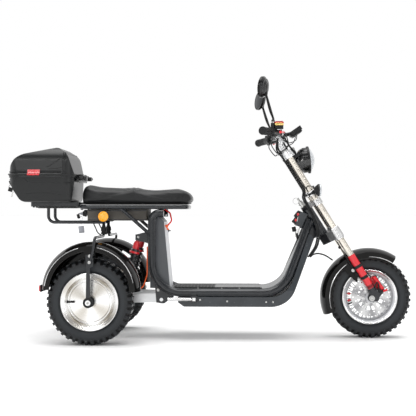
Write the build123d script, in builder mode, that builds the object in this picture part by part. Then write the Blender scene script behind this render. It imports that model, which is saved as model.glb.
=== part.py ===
from build123d import *
import os
from math import asin, atan2, cos, degrees, radians, sin

os.makedirs("parts", exist_ok=True)

# Electric trike: two rear hub-motor wheels, a raked fork, a step-through floor and a top case.
# Millimetres, +X forward, +Y left, +Z up, ground at Z = 0, origin under the middle of the trike.

# Stance
WHEELBASE = 1392.0
FRONT_AXLE_X = 817.0
REAR_AXLE_X = FRONT_AXLE_X - WHEELBASE
REAR_WHEEL_Y = 292.0
RUN_GAP = 0.3  # gap between pieces that move on each other
SEAT_GAP = 0.3  # gap between pieces that are bolted together
PIN_FIT = 0.05  # radial play of a shaft in its bore

# Tyres and rims
TYRE_RADIUS = 210.0  # out to the tips of the lugs
TYRE_WIDTH = 108.0
LUG_HEIGHT = 7.0
LUG_LENGTH = 17.0  # along the rolling direction
LUG_COUNT = 20
SPOKE_PAIRS = 16
HUB_RADIUS = 26.0
RIM_LIP_RADIUS = 140.0
RIM_WIDTH = 92.0
RIM_LIP = 5.0
BEAD_DEPTH = 13.0
BEAD_RADIUS = RIM_LIP_RADIUS - BEAD_DEPTH
AXLE_Z = TYRE_RADIUS

# Fork and steering, measured up the fork from the axle line
RAKE_DEG = 32.0
LEG_LEAD = 28.0  # fork legs ahead of the axle, square to the legs
CROWN_OFFSET = 57.0  # fork legs ahead of the steering axis
LEG_Y = 92.0
FORK_TUBE_RADIUS = 17.0
LOWER_LEG_RADIUS = 18.5
LOWER_LEG_BOTTOM = 44.0
LOWER_LEG_TOP = 238.0
LOWER_CROWN_BOTTOM = 345.0
LOWER_CROWN_TOP = 395.0
UPPER_CROWN_BOTTOM = 548.0
UPPER_CROWN_TOP = 572.0
TOP_CROWN_THICK = 28.0
CLAMP_WALL = 8.0
STEM_RADIUS = 16.0
HEAD_TUBE_RADIUS = 27.0
FRONT_AXLE_RADIUS = 7.0
DROPOUT_THICK = 18.0
DISC_RADIUS = 96.0
DISC_THICK = 4.0
DISC_Y = -60.0

# Handlebar and what it carries
BAR_LEAD = 21.7  # bar ahead of the fork legs
BAR_RISE = 89.7  # bar above the top crown
BAR_RADIUS = 11.0
BAR_HALF_WIDTH = 372.0
BAR_KNEE = 112.0
BAR_SWEEP = 97.0
BAR_DROOP = 8.0
GRIP_RADIUS = 18.0
GRIP_LENGTH = 125.0
PERCH_RISE = 46.0
MIRROR_RADIUS = 52.0
MIRROR_RISE = 216.0
LAMP_RADIUS = 68.0
LAMP_AHEAD = 86.0  # lamp face ahead of the fork legs
LAMP_UP = 760.0
LAMP_HEADROOM = 70.0  # top crown above the lamp's middle
DOME_HEIGHT = 26.0

# Frame
FRAME_TUBE_RADIUS = 20.0
FRAME_TUBE_Y = 140.0
FRAME_TUBE_RISE = 27.5  # tube centres above the axles
UPRIGHT_AHEAD = 283.0  # rear uprights ahead of the rear axle
FRAME_BEND = 150.0
SEAT_RAIL_BEND = 40.0
FRONT_BEND_BACK = 449.0  # front bend behind the front axle
NECK_BACK = 22.0  # tube ends behind the steering axis
NECK_UP = 492.0
NECK_Y = 38.0
GROOVE_RADIUS = 2.4
DECK_RISE = 48.0
MAT_THICK = 4.0
MAT_MARGIN = 104.0
DECK_THICK = 22.0
TRAY_DROP = 42.0  # tray bottom under the axles
TRAY_REAR_GAP = 133.0
TRAY_FRONT_GAP = 71.0
TRAY_HALF_WIDTH = 148.0

# Seat
SEAT_RAIL_RISE = 460.0
SEAT_RAIL_RADIUS = 11.0
SEAT_BACK = 78.0  # rear of the seat rail behind the rear axle
SEAT_LENGTH = 536.0
SEAT_HALF_WIDTH = 146.0
SEAT_HEIGHT = 84.0
STRUT_RADIUS = 9.0
BOX_LENGTH = 310.0
BOX_HALF_WIDTH = 95.0
BOX_TO_BATTERY = 14.0
SIDE_LAMP_RADIUS = 27.0
LAMP_THICK = 14.0
BATTERY_HALF_WIDTH = 112.0
BATTERY_DEPTH = 91.0
BATTERY_BEHIND = 12.0  # battery's back behind the uprights

# Rear suspension
ARM_LENGTH = 331.0
ARM_THICK = 36.0
PIVOT_DROP = 8.0
PIVOT_PIN_RADIUS = 9.0
ARM_Y = 95.0
REAR_AXLE_RADIUS = 8.0
SHOCK_Y = 108.0
SHOCK_PIN_RADIUS = 6.0
SHOCK_EYE_RADIUS = 14.0
SHOCK_EYE_WIDTH = 23.0
SHOCK_TOP_AHEAD = 212.0
SHOCK_TOP_RISE = 307.0
SHOCK_LOW_AHEAD = 146.0
SHOCK_LOW_RISE = 54.0
SPRING_RADIUS = 19.0
SPRING_WIRE = 4.0
SPRING_TURNS = 7

# Mudguards
REAR_GUARD_GAP = 31.0  # guard crown outside the tyre
REAR_GUARD_AHEAD = 3.0
REAR_GUARD_LIFT = 50.0
REAR_GUARD_HALF_WIDTH = 74.0
FRONT_GUARD_GAP = 40.0
FRONT_GUARD_HALF_WIDTH = 70.0
GUARD_WALL = 3.0
REAR_SKIRT = 44.0
FRONT_SKIRT = 54.0
STAY_THICK = 6.0
STAY_TUBE_RADIUS = 7.0

# Top case
CASE_RISE = 485.0
CASE_TUB_HEIGHT = 133.0
CASE_LID_HEIGHT = 152.0
CASE_BACK = 109.0  # front of the case behind the rear axle
CASE_LENGTH = 336.0
CASE_HALF_WIDTH = 181.0
CASE_WALL = 4.0
HINGE_AHEAD = 28.0
HINGE_RADIUS = 8.0
RACK_TUBE_RADIUS = 8.0
RACK_Y = 80.0
RACK_RAIL_RISE = 382.0
RACK_POST_BACK = 255.0
RACK_PLATE_THICK = 22.0

# Foot pegs
PEG_AHEAD = 81.0  # peg hinge ahead of the rear end of the tray
PEG_OUT = 32.0
PEG_DROP = 2.0
PEG_LENGTH = 126.0
PEG_PIN_RADIUS = 5.0

# Places up the fork
TOP_CROWN_BOTTOM = LAMP_UP + LAMP_HEADROOM
TOP_CROWN_TOP = TOP_CROWN_BOTTOM + TOP_CROWN_THICK

# Heights above the ground
FRAME_TUBE_Z = AXLE_Z + FRAME_TUBE_RISE
DECK_TOP = AXLE_Z + DECK_RISE
TRAY_BOTTOM = AXLE_Z - TRAY_DROP
SEAT_RAIL_Z = AXLE_Z + SEAT_RAIL_RISE
PIVOT_Z = AXLE_Z - PIVOT_DROP
SHOCK_TOP_Z = AXLE_Z + SHOCK_TOP_RISE
SHOCK_LOW_Z = AXLE_Z + SHOCK_LOW_RISE
CASE_BOTTOM = AXLE_Z + CASE_RISE
CASE_RIM_Z = CASE_BOTTOM + CASE_TUB_HEIGHT
CASE_TOP = CASE_RIM_Z + CASE_LID_HEIGHT
RACK_RAIL_Z = AXLE_Z + RACK_RAIL_RISE
PEG_Z = AXLE_Z - PEG_DROP

# Places along the trike
FRAME_REAR_X = REAR_AXLE_X + UPRIGHT_AHEAD
FRAME_FRONT_X = FRONT_AXLE_X - FRONT_BEND_BACK
TRAY_REAR_X = FRAME_REAR_X + TRAY_REAR_GAP
TRAY_FRONT_X = FRAME_FRONT_X - TRAY_FRONT_GAP
SEAT_REAR_X = REAR_AXLE_X - SEAT_BACK
SEAT_FRONT_X = SEAT_REAR_X + SEAT_LENGTH
PIVOT_X = REAR_AXLE_X + ARM_LENGTH
SHOCK_TOP_X = REAR_AXLE_X + SHOCK_TOP_AHEAD
SHOCK_LOW_X = REAR_AXLE_X + SHOCK_LOW_AHEAD
CASE_FRONT_X = REAR_AXLE_X - CASE_BACK
CASE_REAR_X = CASE_FRONT_X - CASE_LENGTH
HINGE_X = CASE_FRONT_X + HINGE_AHEAD
RACK_POST_X = REAR_AXLE_X - RACK_POST_BACK
PEG_X = TRAY_REAR_X + PEG_AHEAD
PEG_Y = FRAME_TUBE_Y + PEG_OUT
REAR_GUARD_RADIUS = TYRE_RADIUS + REAR_GUARD_GAP
FRONT_GUARD_RADIUS = TYRE_RADIUS + FRONT_GUARD_GAP

# Directions of the raked steering axis
rake = radians(RAKE_DEG)
fork_up = Vector(-sin(rake), 0, cos(rake))
fork_ahead = Vector(cos(rake), 0, sin(rake))
axle_ahead = CROWN_OFFSET - LEG_LEAD
steer_foot = Vector(FRONT_AXLE_X, 0, AXLE_Z) - fork_ahead * axle_ahead
across_fork = Plane(origin=steer_foot, x_dir=fork_ahead, z_dir=fork_up)
beside_fork = Plane(origin=steer_foot, x_dir=fork_ahead, z_dir=(0, -1, 0))


def fork_point(ahead, side, up):
    """World point from steps ahead of, beside and up the steering axis."""
    return steer_foot + fork_ahead * ahead + Vector(0, side, 0) + fork_up * up


bar_ahead = CROWN_OFFSET + BAR_LEAD
bar_up = TOP_CROWN_TOP + BAR_RISE
BAR_X = fork_point(bar_ahead, 0, bar_up).X
BAR_Z = fork_point(bar_ahead, 0, bar_up).Z
NECK_X = fork_point(-NECK_BACK, 0, NECK_UP).X
NECK_Z = fork_point(-NECK_BACK, 0, NECK_UP).Z


def tube(points, bends, radius):
    """Round bar along straight runs joined by bends."""
    with BuildPart() as run:
        with BuildLine() as route:
            FilletPolyline(*points, radius=bends)
        with BuildSketch(Plane(origin=route.line @ 0, z_dir=route.line % 0)):
            Circle(radius)
        sweep()
    return run.part


def rod(start, end, radius):
    """Straight round bar between two points."""
    along = Vector(*end) - Vector(*start)
    with BuildPart() as bar:
        with BuildSketch(Plane(origin=start, z_dir=along)):
            Circle(radius)
        extrude(amount=along.length)
    return bar.part


def side_plate(points, side_from, side_to):
    """Flat plate with an outline in the XZ plane between two side positions."""
    with BuildPart() as plate:
        with BuildSketch(Plane(origin=(0, side_from, 0), x_dir=(1, 0, 0), z_dir=(0, -1, 0))):
            with BuildLine():
                Polyline(*points, close=True)
            make_face()
        extrude(amount=side_from - side_to)
    return plate.part


def wheel_plane(axle_x, side):
    """Plane through a wheel's axle: local x is the radius, local y runs along the axle."""
    return Plane(origin=(axle_x, side, AXLE_Z), x_dir=(1, 0, 0), z_dir=(0, 0, 1))


def wheel_axis(axle_x, side):
    return Axis((axle_x, side, AXLE_Z), (0, 1, 0))


def lug(section, length):
    """Rubber block with a section in the radius and width plane, centred on the rolling direction."""
    with BuildPart() as block:
        with BuildSketch(Plane.XY):
            with BuildLine():
                Polyline(*section, close=True)
            make_face()
        extrude(amount=length / 2, both=True)
    return block.part


# Tyre with a flat-sided crown and a row of lugs over each shoulder, axle along Y at the origin
tyre_half = TYRE_WIDTH / 2
tyre_base = TYRE_RADIUS - LUG_HEIGHT
bead_half = RIM_WIDTH / 2 - RIM_LIP - SEAT_GAP
bead_foot = BEAD_RADIUS + SEAT_GAP
shoulder_lean = degrees(atan2(14, 16))
with BuildPart() as tyre_form:
    with BuildSketch(Plane.XZ):
        RegularPolygon(tyre_base, 2 * LUG_COUNT)
    extrude(amount=tyre_half - 19, both=True)
    for way in (0, -1):
        extrude(tyre_form.faces().sort_by(Axis.Y)[way], amount=16, taper=shoulder_lean)
    Cylinder(RIM_LIP_RADIUS + 25, 2 * TYRE_WIDTH, rotation=(90, 0, 0), mode=Mode.SUBTRACT)
    # side walls and bead
    with BuildSketch(Plane.XY):
        with BuildLine():
            Polyline(
                (bead_foot, -bead_half),
                (RIM_LIP_RADIUS + 1, -bead_half),
                (RIM_LIP_RADIUS + 14, 3 - tyre_half),
                (tyre_base - 18, 3 - tyre_half),
                (tyre_base - 18, tyre_half - 3),
                (RIM_LIP_RADIUS + 14, tyre_half - 3),
                (RIM_LIP_RADIUS + 1, bead_half),
                (bead_foot, bead_half),
                close=True,
            )
        make_face()
    revolve(axis=Axis.Y)
    # lugs, each on its own flat
    pitch = 360 / LUG_COUNT
    for way in (-1, 1):
        shoulder = lug(
            [
                (tyre_base - 10, way * 5),
                (TYRE_RADIUS, way * 5),
                (TYRE_RADIUS - 2, way * (tyre_half - 11)),
                (tyre_base - 6, way * tyre_half),
                (tyre_base - 20, way * tyre_half),
                (tyre_base - 20, way * (tyre_half - 20)),
            ],
            LUG_LENGTH,
        )
        offset = way * pitch / 4
        with Locations(*[Location((0, 0, 0), (0, offset + pitch * step, 0)) for step in range(LUG_COUNT)]):
            add(shoulder)


def tyre(axle_x, side):
    """Copy of the tyre on its axle."""
    with BuildPart() as ring:
        with Locations((axle_x, side, AXLE_Z)):
            add(tyre_form.part)
    return ring.part


def rim_barrel(axle_x, side):
    """Rim ring with two bead lips and a dropped centre."""
    half = RIM_WIDTH / 2
    with BuildPart() as ring:
        with BuildSketch(wheel_plane(axle_x, side)):
            with BuildLine():
                Polyline(
                    (RIM_LIP_RADIUS, half),
                    (RIM_LIP_RADIUS, half - RIM_LIP),
                    (BEAD_RADIUS, half - RIM_LIP),
                    (BEAD_RADIUS, half - 20),
                    (BEAD_RADIUS - 8, half - 26),
                    (BEAD_RADIUS - 8, 26 - half),
                    (BEAD_RADIUS, 20 - half),
                    (BEAD_RADIUS, RIM_LIP - half),
                    (RIM_LIP_RADIUS, RIM_LIP - half),
                    (RIM_LIP_RADIUS, -half),
                    (RIM_LIP_RADIUS - 4, -half),
                    (BEAD_RADIUS - 6, 8 - half),
                    (BEAD_RADIUS - 13, 22 - half),
                    (BEAD_RADIUS - 13, half - 22),
                    (BEAD_RADIUS - 6, half - 8),
                    (RIM_LIP_RADIUS - 4, half),
                    close=True,
                )
            make_face()
        revolve(axis=wheel_axis(axle_x, side))
    return ring.part


def guard(centre_x, centre_z, side, crown, half_width, skirt, start_deg, end_deg):
    """Curved mudguard with straight skirts and a rolled bead along both edges."""
    start = radians(start_deg)
    shoulder = crown - 20
    inner = half_width - GUARD_WALL
    with BuildPart() as shell:
        with BuildSketch(
            Plane(origin=(centre_x, side, centre_z), x_dir=(cos(start), 0, sin(start)), z_dir=(-sin(start), 0, cos(start)))
        ):
            with BuildLine():
                Line((skirt, -half_width), (shoulder, -half_width))
                ThreePointArc((shoulder, -half_width), (crown, 0), (shoulder, half_width))
                Polyline((shoulder, half_width), (skirt, half_width), (skirt, inner), (shoulder - 1, inner))
                ThreePointArc((shoulder - 1, inner), (crown - GUARD_WALL, 0), (shoulder - 1, -inner))
                Polyline((shoulder - 1, -inner), (skirt, -inner), (skirt, -half_width))
            make_face()
            with Locations((skirt, -half_width + 2.5), (skirt, half_width - 2.5)):
                Circle(4)
        revolve(axis=Axis((centre_x, side, centre_z), (0, -1, 0)), revolution_arc=end_deg - start_deg)
    return shell.part


# Bent frame tubes from under the seat, along the floor and up to the neck, with their welded brackets
def frame_route(way):
    top = SEAT_RAIL_Z - SEAT_RAIL_RADIUS - SEAT_GAP - FRAME_TUBE_RADIUS
    return [
        (FRAME_REAR_X + 2 * SEAT_RAIL_BEND - 20, way * FRAME_TUBE_Y, top),
        (FRAME_REAR_X, way * FRAME_TUBE_Y, top),
        (FRAME_REAR_X, way * FRAME_TUBE_Y, FRAME_TUBE_Z),
        (FRAME_FRONT_X, way * FRAME_TUBE_Y, FRAME_TUBE_Z),
        (NECK_X, way * NECK_Y, NECK_Z),
    ]


FRAME_BENDS = [SEAT_RAIL_BEND, FRAME_BEND, FRAME_BEND]

with BuildPart() as head_bore:
    with BuildSketch(across_fork.offset(LOWER_CROWN_TOP)):
        Circle(HEAD_TUBE_RADIUS + SEAT_GAP)
    extrude(amount=UPPER_CROWN_BOTTOM - LOWER_CROWN_TOP)

groove_lean = radians(24)
groove_out = FRAME_TUBE_RADIUS * cos(groove_lean)
groove_up = FRAME_TUBE_RADIUS * sin(groove_lean)
with BuildPart() as frame_tubes:
    for way in (-1, 1):
        # tube with two fine grooves along its outer side
        with BuildLine(mode=Mode.PRIVATE) as run:
            FilletPolyline(*frame_route(way), radius=FRAME_BENDS)
        with BuildSketch(Plane(origin=run.line @ 0, x_dir=(0, way, 0), z_dir=run.line % 0)):
            Circle(FRAME_TUBE_RADIUS)
            with Locations((groove_out, groove_up), (groove_out, -groove_up)):
                Circle(GROOVE_RADIUS, mode=Mode.SUBTRACT)
        sweep(path=run.line)
        # shock bracket behind the upright
        plate_in = way * (SHOCK_Y + SHOCK_EYE_WIDTH / 2 + SEAT_GAP)
        plate_out = way * (SHOCK_Y + SHOCK_EYE_WIDTH / 2 + 8.5)
        add(
            side_plate(
                [
                    (FRAME_REAR_X - 8, SHOCK_TOP_Z + 30),
                    (SHOCK_TOP_X - 14, SHOCK_TOP_Z + 14),
                    (SHOCK_TOP_X - 14, SHOCK_TOP_Z - 14),
                    (FRAME_REAR_X - 8, SHOCK_TOP_Z - 34),
                ],
                max(plate_in, plate_out),
                min(plate_in, plate_out),
            )
        )
        # pivot plate under the rear bend
        plate_in = way * (ARM_Y + ARM_THICK / 2 + 7)
        plate_out = way * (ARM_Y + ARM_THICK / 2 + 15)
        add(
            side_plate(
                [
                    (PIVOT_X - 34, PIVOT_Z + 74),
                    (PIVOT_X - 26, PIVOT_Z - 16),
                    (PIVOT_X + 14, PIVOT_Z - 20),
                    (PIVOT_X + 62, PIVOT_Z + 14),
                    (PIVOT_X + 62, PIVOT_Z + 36),
                ],
                max(plate_in, plate_out),
                min(plate_in, plate_out),
            )
        )
        # foot peg clevis beside the floor
        with Locations((PEG_X + 2, way * (PEG_Y - 15), PEG_Z)):
            Box(34, 6, 32)
        with Locations((PEG_X, way * (PEG_Y - 5), PEG_Z + 12.3), (PEG_X, way * (PEG_Y - 5), PEG_Z - 12.3)):
            Box(30, 26, 8)
        with Locations((PEG_X, way * (PEG_Y - 16), PEG_Z + 22)):
            Box(26, 14, 20)
    add(head_bore.part, mode=Mode.SUBTRACT)
    with Locations((PIVOT_X, 0, PIVOT_Z)):
        Cylinder(PIVOT_PIN_RADIUS, 2 * (ARM_Y + 55), rotation=(90, 0, 0), mode=Mode.SUBTRACT)
    for way in (-1, 1):
        with Locations((PEG_X, way * PEG_Y, PEG_Z)):
            Cylinder(PEG_PIN_RADIUS, 32)
frame_tubes.part.label = "frame_tubes"
export_step(frame_tubes.part, "parts/frame_tubes.step")

# Clearance copy of the frame tubes, used to seat the panels beside them
with BuildPart() as tube_room:
    for way in (-1, 1):
        add(tube(frame_route(way), FRAME_BENDS, FRAME_TUBE_RADIUS + SEAT_GAP))

# Head tube with its gusset
with BuildPart() as head_tube:
    with BuildSketch(across_fork.offset(LOWER_CROWN_TOP + RUN_GAP)):
        Circle(HEAD_TUBE_RADIUS)
    extrude(amount=UPPER_CROWN_BOTTOM - LOWER_CROWN_TOP - 2 * RUN_GAP)
    with BuildSketch(beside_fork.offset(-14)):
        with BuildLine():
            Polyline((0, LOWER_CROWN_TOP + 6), (0, 520), (-52, 505), (-92, LOWER_CROWN_TOP + 6), close=True)
        make_face()
    extrude(amount=28)
    add(tube_room.part, mode=Mode.SUBTRACT)
    with BuildSketch(across_fork.offset(LOWER_CROWN_TOP)):
        Circle(STEM_RADIUS + PIN_FIT)
    extrude(amount=UPPER_CROWN_BOTTOM - LOWER_CROWN_TOP, mode=Mode.SUBTRACT)
head_tube.part.label = "head_tube"
export_step(head_tube.part, "parts/head_tube.step")

# Floor deck between the tubes, turning up into the leg shield
front_lean = Vector(NECK_X - FRAME_FRONT_X, 0, NECK_Z - FRAME_TUBE_Z).normalized()
deck_low = DECK_TOP - DECK_THICK
shield_end = Vector(FRAME_FRONT_X, 0, FRAME_TUBE_Z) + front_lean * 372
shield_back = Vector(-front_lean.Z, 0, front_lean.X)
deck_corner_in = FRAME_FRONT_X - 18
deck_corner_out = deck_corner_in + 22
shield_in = shield_end + shield_back * 10
shield_out = shield_end - shield_back * 8


def neck_taper(margin):
    """Wedges that cut a panel to the space between the tubes as they close in to the neck."""
    low_half = FRAME_TUBE_Y - margin
    high_half = NECK_Y - margin
    with BuildPart() as wedges:
        for way in (-1, 1):
            with BuildSketch(Plane(origin=(FRAME_FRONT_X - 190, 0, 0), x_dir=(0, 1, 0), z_dir=(1, 0, 0))):
                with BuildLine():
                    Polyline(
                        (way * low_half, FRAME_TUBE_Z + 12),
                        (way * high_half, NECK_Z),
                        (way * high_half, NECK_Z + 60),
                        (way * 260, NECK_Z + 60),
                        (way * 260, FRAME_TUBE_Z + 12),
                        close=True,
                    )
                make_face()
            extrude(amount=420)
    return wedges.part


with BuildPart() as floor_deck:
    with BuildSketch(Plane(origin=(0, FRAME_TUBE_Y - 20.5, 0), x_dir=(1, 0, 0), z_dir=(0, -1, 0))):
        with BuildLine():
            FilletPolyline(
                (FRAME_REAR_X + 20, deck_low),
                (deck_corner_out, deck_low),
                (shield_out.X, shield_out.Z),
                (shield_in.X, shield_in.Z),
                (deck_corner_in, DECK_TOP),
                (FRAME_REAR_X + 20, DECK_TOP),
                radius=[0, FRAME_BEND, 0, 0, FRAME_BEND - 22, 0],
                close=True,
            )
        make_face()
    extrude(amount=2 * FRAME_TUBE_Y - 41)
    add(neck_taper(21), mode=Mode.SUBTRACT)
    add(tube_room.part, mode=Mode.SUBTRACT)
    add(head_tube.part, mode=Mode.SUBTRACT)
floor_deck.part.label = "floor_deck"
export_step(floor_deck.part, "parts/floor_deck.step")

# Rubber mat on the deck
with BuildPart() as floor_mat:
    with BuildSketch(Plane.XY.offset(DECK_TOP + SEAT_GAP)):
        with Locations(((FRAME_REAR_X + FRAME_FRONT_X) / 2, 0)):
            RectangleRounded(FRAME_FRONT_X - FRAME_REAR_X - 2 * MAT_MARGIN, 2 * FRAME_TUBE_Y - 60, 12)
    extrude(amount=MAT_THICK)
floor_mat.part.label = "floor_mat"
export_step(floor_mat.part, "parts/floor_mat.step")

# Tray under the floor
tray_top = FRAME_TUBE_Z - FRAME_TUBE_RADIUS - SEAT_GAP
with BuildPart() as under_tray:
    with BuildSketch(Plane(origin=(0, TRAY_HALF_WIDTH, 0), x_dir=(1, 0, 0), z_dir=(0, -1, 0))):
        with BuildLine():
            Polyline(
                (TRAY_REAR_X, tray_top),
                (TRAY_REAR_X, TRAY_BOTTOM + 22),
                (TRAY_REAR_X + 30, TRAY_BOTTOM),
                (TRAY_FRONT_X, TRAY_BOTTOM),
                (TRAY_FRONT_X, tray_top),
                close=True,
            )
        make_face()
    extrude(amount=2 * TRAY_HALF_WIDTH)
    with BuildSketch(Plane.XY.offset(tray_top)):
        with Locations(((TRAY_REAR_X + TRAY_FRONT_X) / 2, 0)):
            Rectangle(TRAY_FRONT_X - TRAY_REAR_X - 8, 2 * FRAME_TUBE_Y - 44)
    extrude(amount=deck_low - tray_top - SEAT_GAP)
under_tray.part.label = "under_tray"
export_step(under_tray.part, "parts/under_tray.step")

# Front cover that follows the tubes from the tray up to the neck
with BuildPart() as front_cover:
    with BuildSketch(Plane(origin=(0, TRAY_HALF_WIDTH, 0), x_dir=(1, 0, 0), z_dir=(0, -1, 0))):
        with BuildLine():
            FilletPolyline(
                (TRAY_FRONT_X + SEAT_GAP, TRAY_BOTTOM),
                (FRAME_FRONT_X + 28, TRAY_BOTTOM),
                (NECK_X + 26, NECK_Z - 70),
                (NECK_X - 9, NECK_Z - 70),
                (FRAME_FRONT_X + 20, tray_top),
                (TRAY_FRONT_X + SEAT_GAP, tray_top),
                radius=[0, FRAME_BEND - 20, 0, 0, FRAME_BEND - 30, 0],
                close=True,
            )
        make_face()
    extrude(amount=2 * TRAY_HALF_WIDTH)
    add(neck_taper(-8), mode=Mode.SUBTRACT)
    add(tube_room.part, mode=Mode.SUBTRACT)
    add(floor_deck.part, mode=Mode.SUBTRACT)
    add(head_tube.part, mode=Mode.SUBTRACT)
    with BuildSketch(beside_fork.offset(-160)):
        with Locations((8, LOWER_CROWN_TOP)):
            Rectangle(130, 300)
    extrude(amount=320, mode=Mode.SUBTRACT)
cover_piece = front_cover.part.solids().sort_by(SortBy.VOLUME)[-1]
with BuildPart() as front_panel:
    add(cover_piece)
front_panel.part.label = "front_cover"
export_step(front_panel.part, "parts/front_cover.step")

# Ignition box on the rider's side of the neck
with BuildPart() as ignition_box:
    with BuildSketch(
        Plane(origin=(NECK_X - 35, 0, NECK_Z + 2), x_dir=(0, 1, 0), z_dir=front_lean)
    ):
        with Locations((0, 8)):
            RectangleRounded(66, 44, 8)
    extrude(amount=38, both=True)
    add(tube_room.part, mode=Mode.SUBTRACT)
    add(floor_deck.part, mode=Mode.SUBTRACT)
    add(head_tube.part, mode=Mode.SUBTRACT)
box_piece = ignition_box.part.solids().sort_by(SortBy.VOLUME)[-1]
with BuildPart() as ignition_case:
    add(box_piece)
ignition_case.part.label = "ignition_box"
export_step(ignition_case.part, "parts/ignition_box.step")

# Seat frame: a closed tube ring with a pressed plate and two struts
ring_length = SEAT_FRONT_X - SEAT_REAR_X
ring_mid = (SEAT_FRONT_X + SEAT_REAR_X) / 2
with BuildPart() as seat_frame:
    with BuildSketch(Plane.XY.offset(SEAT_RAIL_Z - SEAT_RAIL_RADIUS)):
        with Locations((ring_mid, 0)):
            RectangleRounded(ring_length + 22, 2 * FRAME_TUBE_Y + 22, 50)
            RectangleRounded(ring_length - 22, 2 * FRAME_TUBE_Y - 22, 28, mode=Mode.SUBTRACT)
    extrude(amount=2 * SEAT_RAIL_RADIUS)
    fillet(seat_frame.edges().filter_by(GeomType.LINE).filter_by(Axis.Z, reverse=True), 8)
    with BuildSketch(Plane.XY.offset(SEAT_RAIL_Z - SEAT_RAIL_RADIUS)):
        with Locations((ring_mid, 0)):
            RectangleRounded(ring_length - 10, 2 * FRAME_TUBE_Y - 10, 30)
    extrude(amount=5)
    for way in (-1, 1):
        strut_y = way * FRAME_TUBE_Y
        strut_top = (FRAME_REAR_X - 161, strut_y, SEAT_RAIL_Z - 4)
        strut_foot = (FRAME_REAR_X - 12, strut_y, SEAT_RAIL_Z - 136)
        add(rod(strut_top, strut_foot, STRUT_RADIUS))
    add(tube_room.part, mode=Mode.SUBTRACT)
seat_frame.part.label = "seat_frame"
export_step(seat_frame.part, "parts/seat_frame.step")

# Seat cushion
seat_low = SEAT_RAIL_Z + SEAT_RAIL_RADIUS + SEAT_GAP
seat_top = seat_low + SEAT_HEIGHT
seat_tail = SEAT_REAR_X - 6
seat_nose = SEAT_FRONT_X + 29
with BuildPart() as seat:
    with BuildSketch(Plane(origin=(0, SEAT_HALF_WIDTH, 0), x_dir=(1, 0, 0), z_dir=(0, -1, 0))):
        with BuildLine():
            Polyline(
                (seat_nose - 46, seat_low),
                (seat_tail + 13, seat_low),
                (seat_tail, seat_low + 24),
                (seat_tail + 15, seat_top + 18),
            )
            ThreePointArc((seat_tail + 15, seat_top + 18), (seat_tail + 90, seat_top + 4), (seat_tail + 200, seat_top))
            Line((seat_tail + 200, seat_top), (seat_nose - 80, seat_top - 2))
            ThreePointArc((seat_nose - 80, seat_top - 2), (seat_nose - 20, seat_top - 22), (seat_nose, seat_low + 25))
            ThreePointArc((seat_nose, seat_low + 25), (seat_nose - 16, seat_low + 7), (seat_nose - 46, seat_low))
        make_face()
    extrude(amount=2 * SEAT_HALF_WIDTH)
    with BuildSketch(Plane.XY.offset(seat_low)):
        with Locations(((seat_tail + seat_nose) / 2, 0)):
            RectangleRounded(seat_nose - seat_tail + 19, 2 * SEAT_HALF_WIDTH - 4, 66)
    extrude(amount=140, mode=Mode.INTERSECT)
seat.part.label = "seat"
export_step(seat.part, "parts/seat.step")

# Box under the seat
box_top = SEAT_RAIL_Z - SEAT_RAIL_RADIUS - SEAT_GAP
box_low = RACK_RAIL_Z + RACK_TUBE_RADIUS + SEAT_GAP
box_mid = FRAME_REAR_X - BATTERY_BEHIND - BOX_TO_BATTERY - BOX_LENGTH / 2
with BuildPart() as controller_box:
    with BuildSketch(Plane.XY.offset(box_low)):
        with Locations((box_mid, 0)):
            RectangleRounded(BOX_LENGTH, 2 * BOX_HALF_WIDTH, 10)
    extrude(amount=box_top - box_low)
    with Locations((box_mid - BOX_LENGTH / 2 - 12, 0, (box_low + box_top) / 2 + 7)):
        Cylinder(11, 26, rotation=(0, 90, 0))
controller_box.part.label = "controller_box"
export_step(controller_box.part, "parts/controller_box.step")

# Battery case standing on the deck between the uprights
battery_top = SEAT_RAIL_Z - 44
with BuildPart() as battery_case:
    with BuildSketch(Plane(origin=(0, BATTERY_HALF_WIDTH, 0), x_dir=(1, 0, 0), z_dir=(0, -1, 0))):
        with BuildLine():
            Polyline(
                (FRAME_REAR_X - BATTERY_BEHIND, DECK_TOP + SEAT_GAP),
                (FRAME_REAR_X + BATTERY_DEPTH, DECK_TOP + SEAT_GAP),
                (FRAME_REAR_X + BATTERY_DEPTH - 31, battery_top - 32),
                (FRAME_REAR_X + BATTERY_DEPTH - 61, battery_top),
                (FRAME_REAR_X - BATTERY_BEHIND, battery_top),
                close=True,
            )
        make_face()
    extrude(amount=2 * BATTERY_HALF_WIDTH)
    fillet(battery_case.edges().filter_by(Axis.Z), 8)
    front_edges = battery_case.faces().sort_by(Axis.X)[-1].edges()
    fillet(front_edges.filter_by(Axis.Y, reverse=True), 8)
battery_case.part.label = "battery_case"
export_step(battery_case.part, "parts/battery_case.step")

# Battery lead from under the seat down to the battery's front
with BuildPart() as battery_lead:
    add(
        tube(
            [
                (FRAME_REAR_X + 60, -64, SEAT_RAIL_Z - SEAT_RAIL_RADIUS - 0.5),
                (FRAME_REAR_X + 86, -64, SEAT_RAIL_Z - 30),
                (FRAME_REAR_X + 96, -64, SEAT_RAIL_Z - 70),
                (FRAME_REAR_X + 66, -64, SEAT_RAIL_Z - 104),
            ],
            [16.0, 22.0],
            4,
        )
    )
    add(battery_case.part, mode=Mode.SUBTRACT)
    add(seat_frame.part, mode=Mode.SUBTRACT)
battery_lead.part.label = "battery_lead"
export_step(battery_lead.part, "parts/battery_lead.step")

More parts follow.
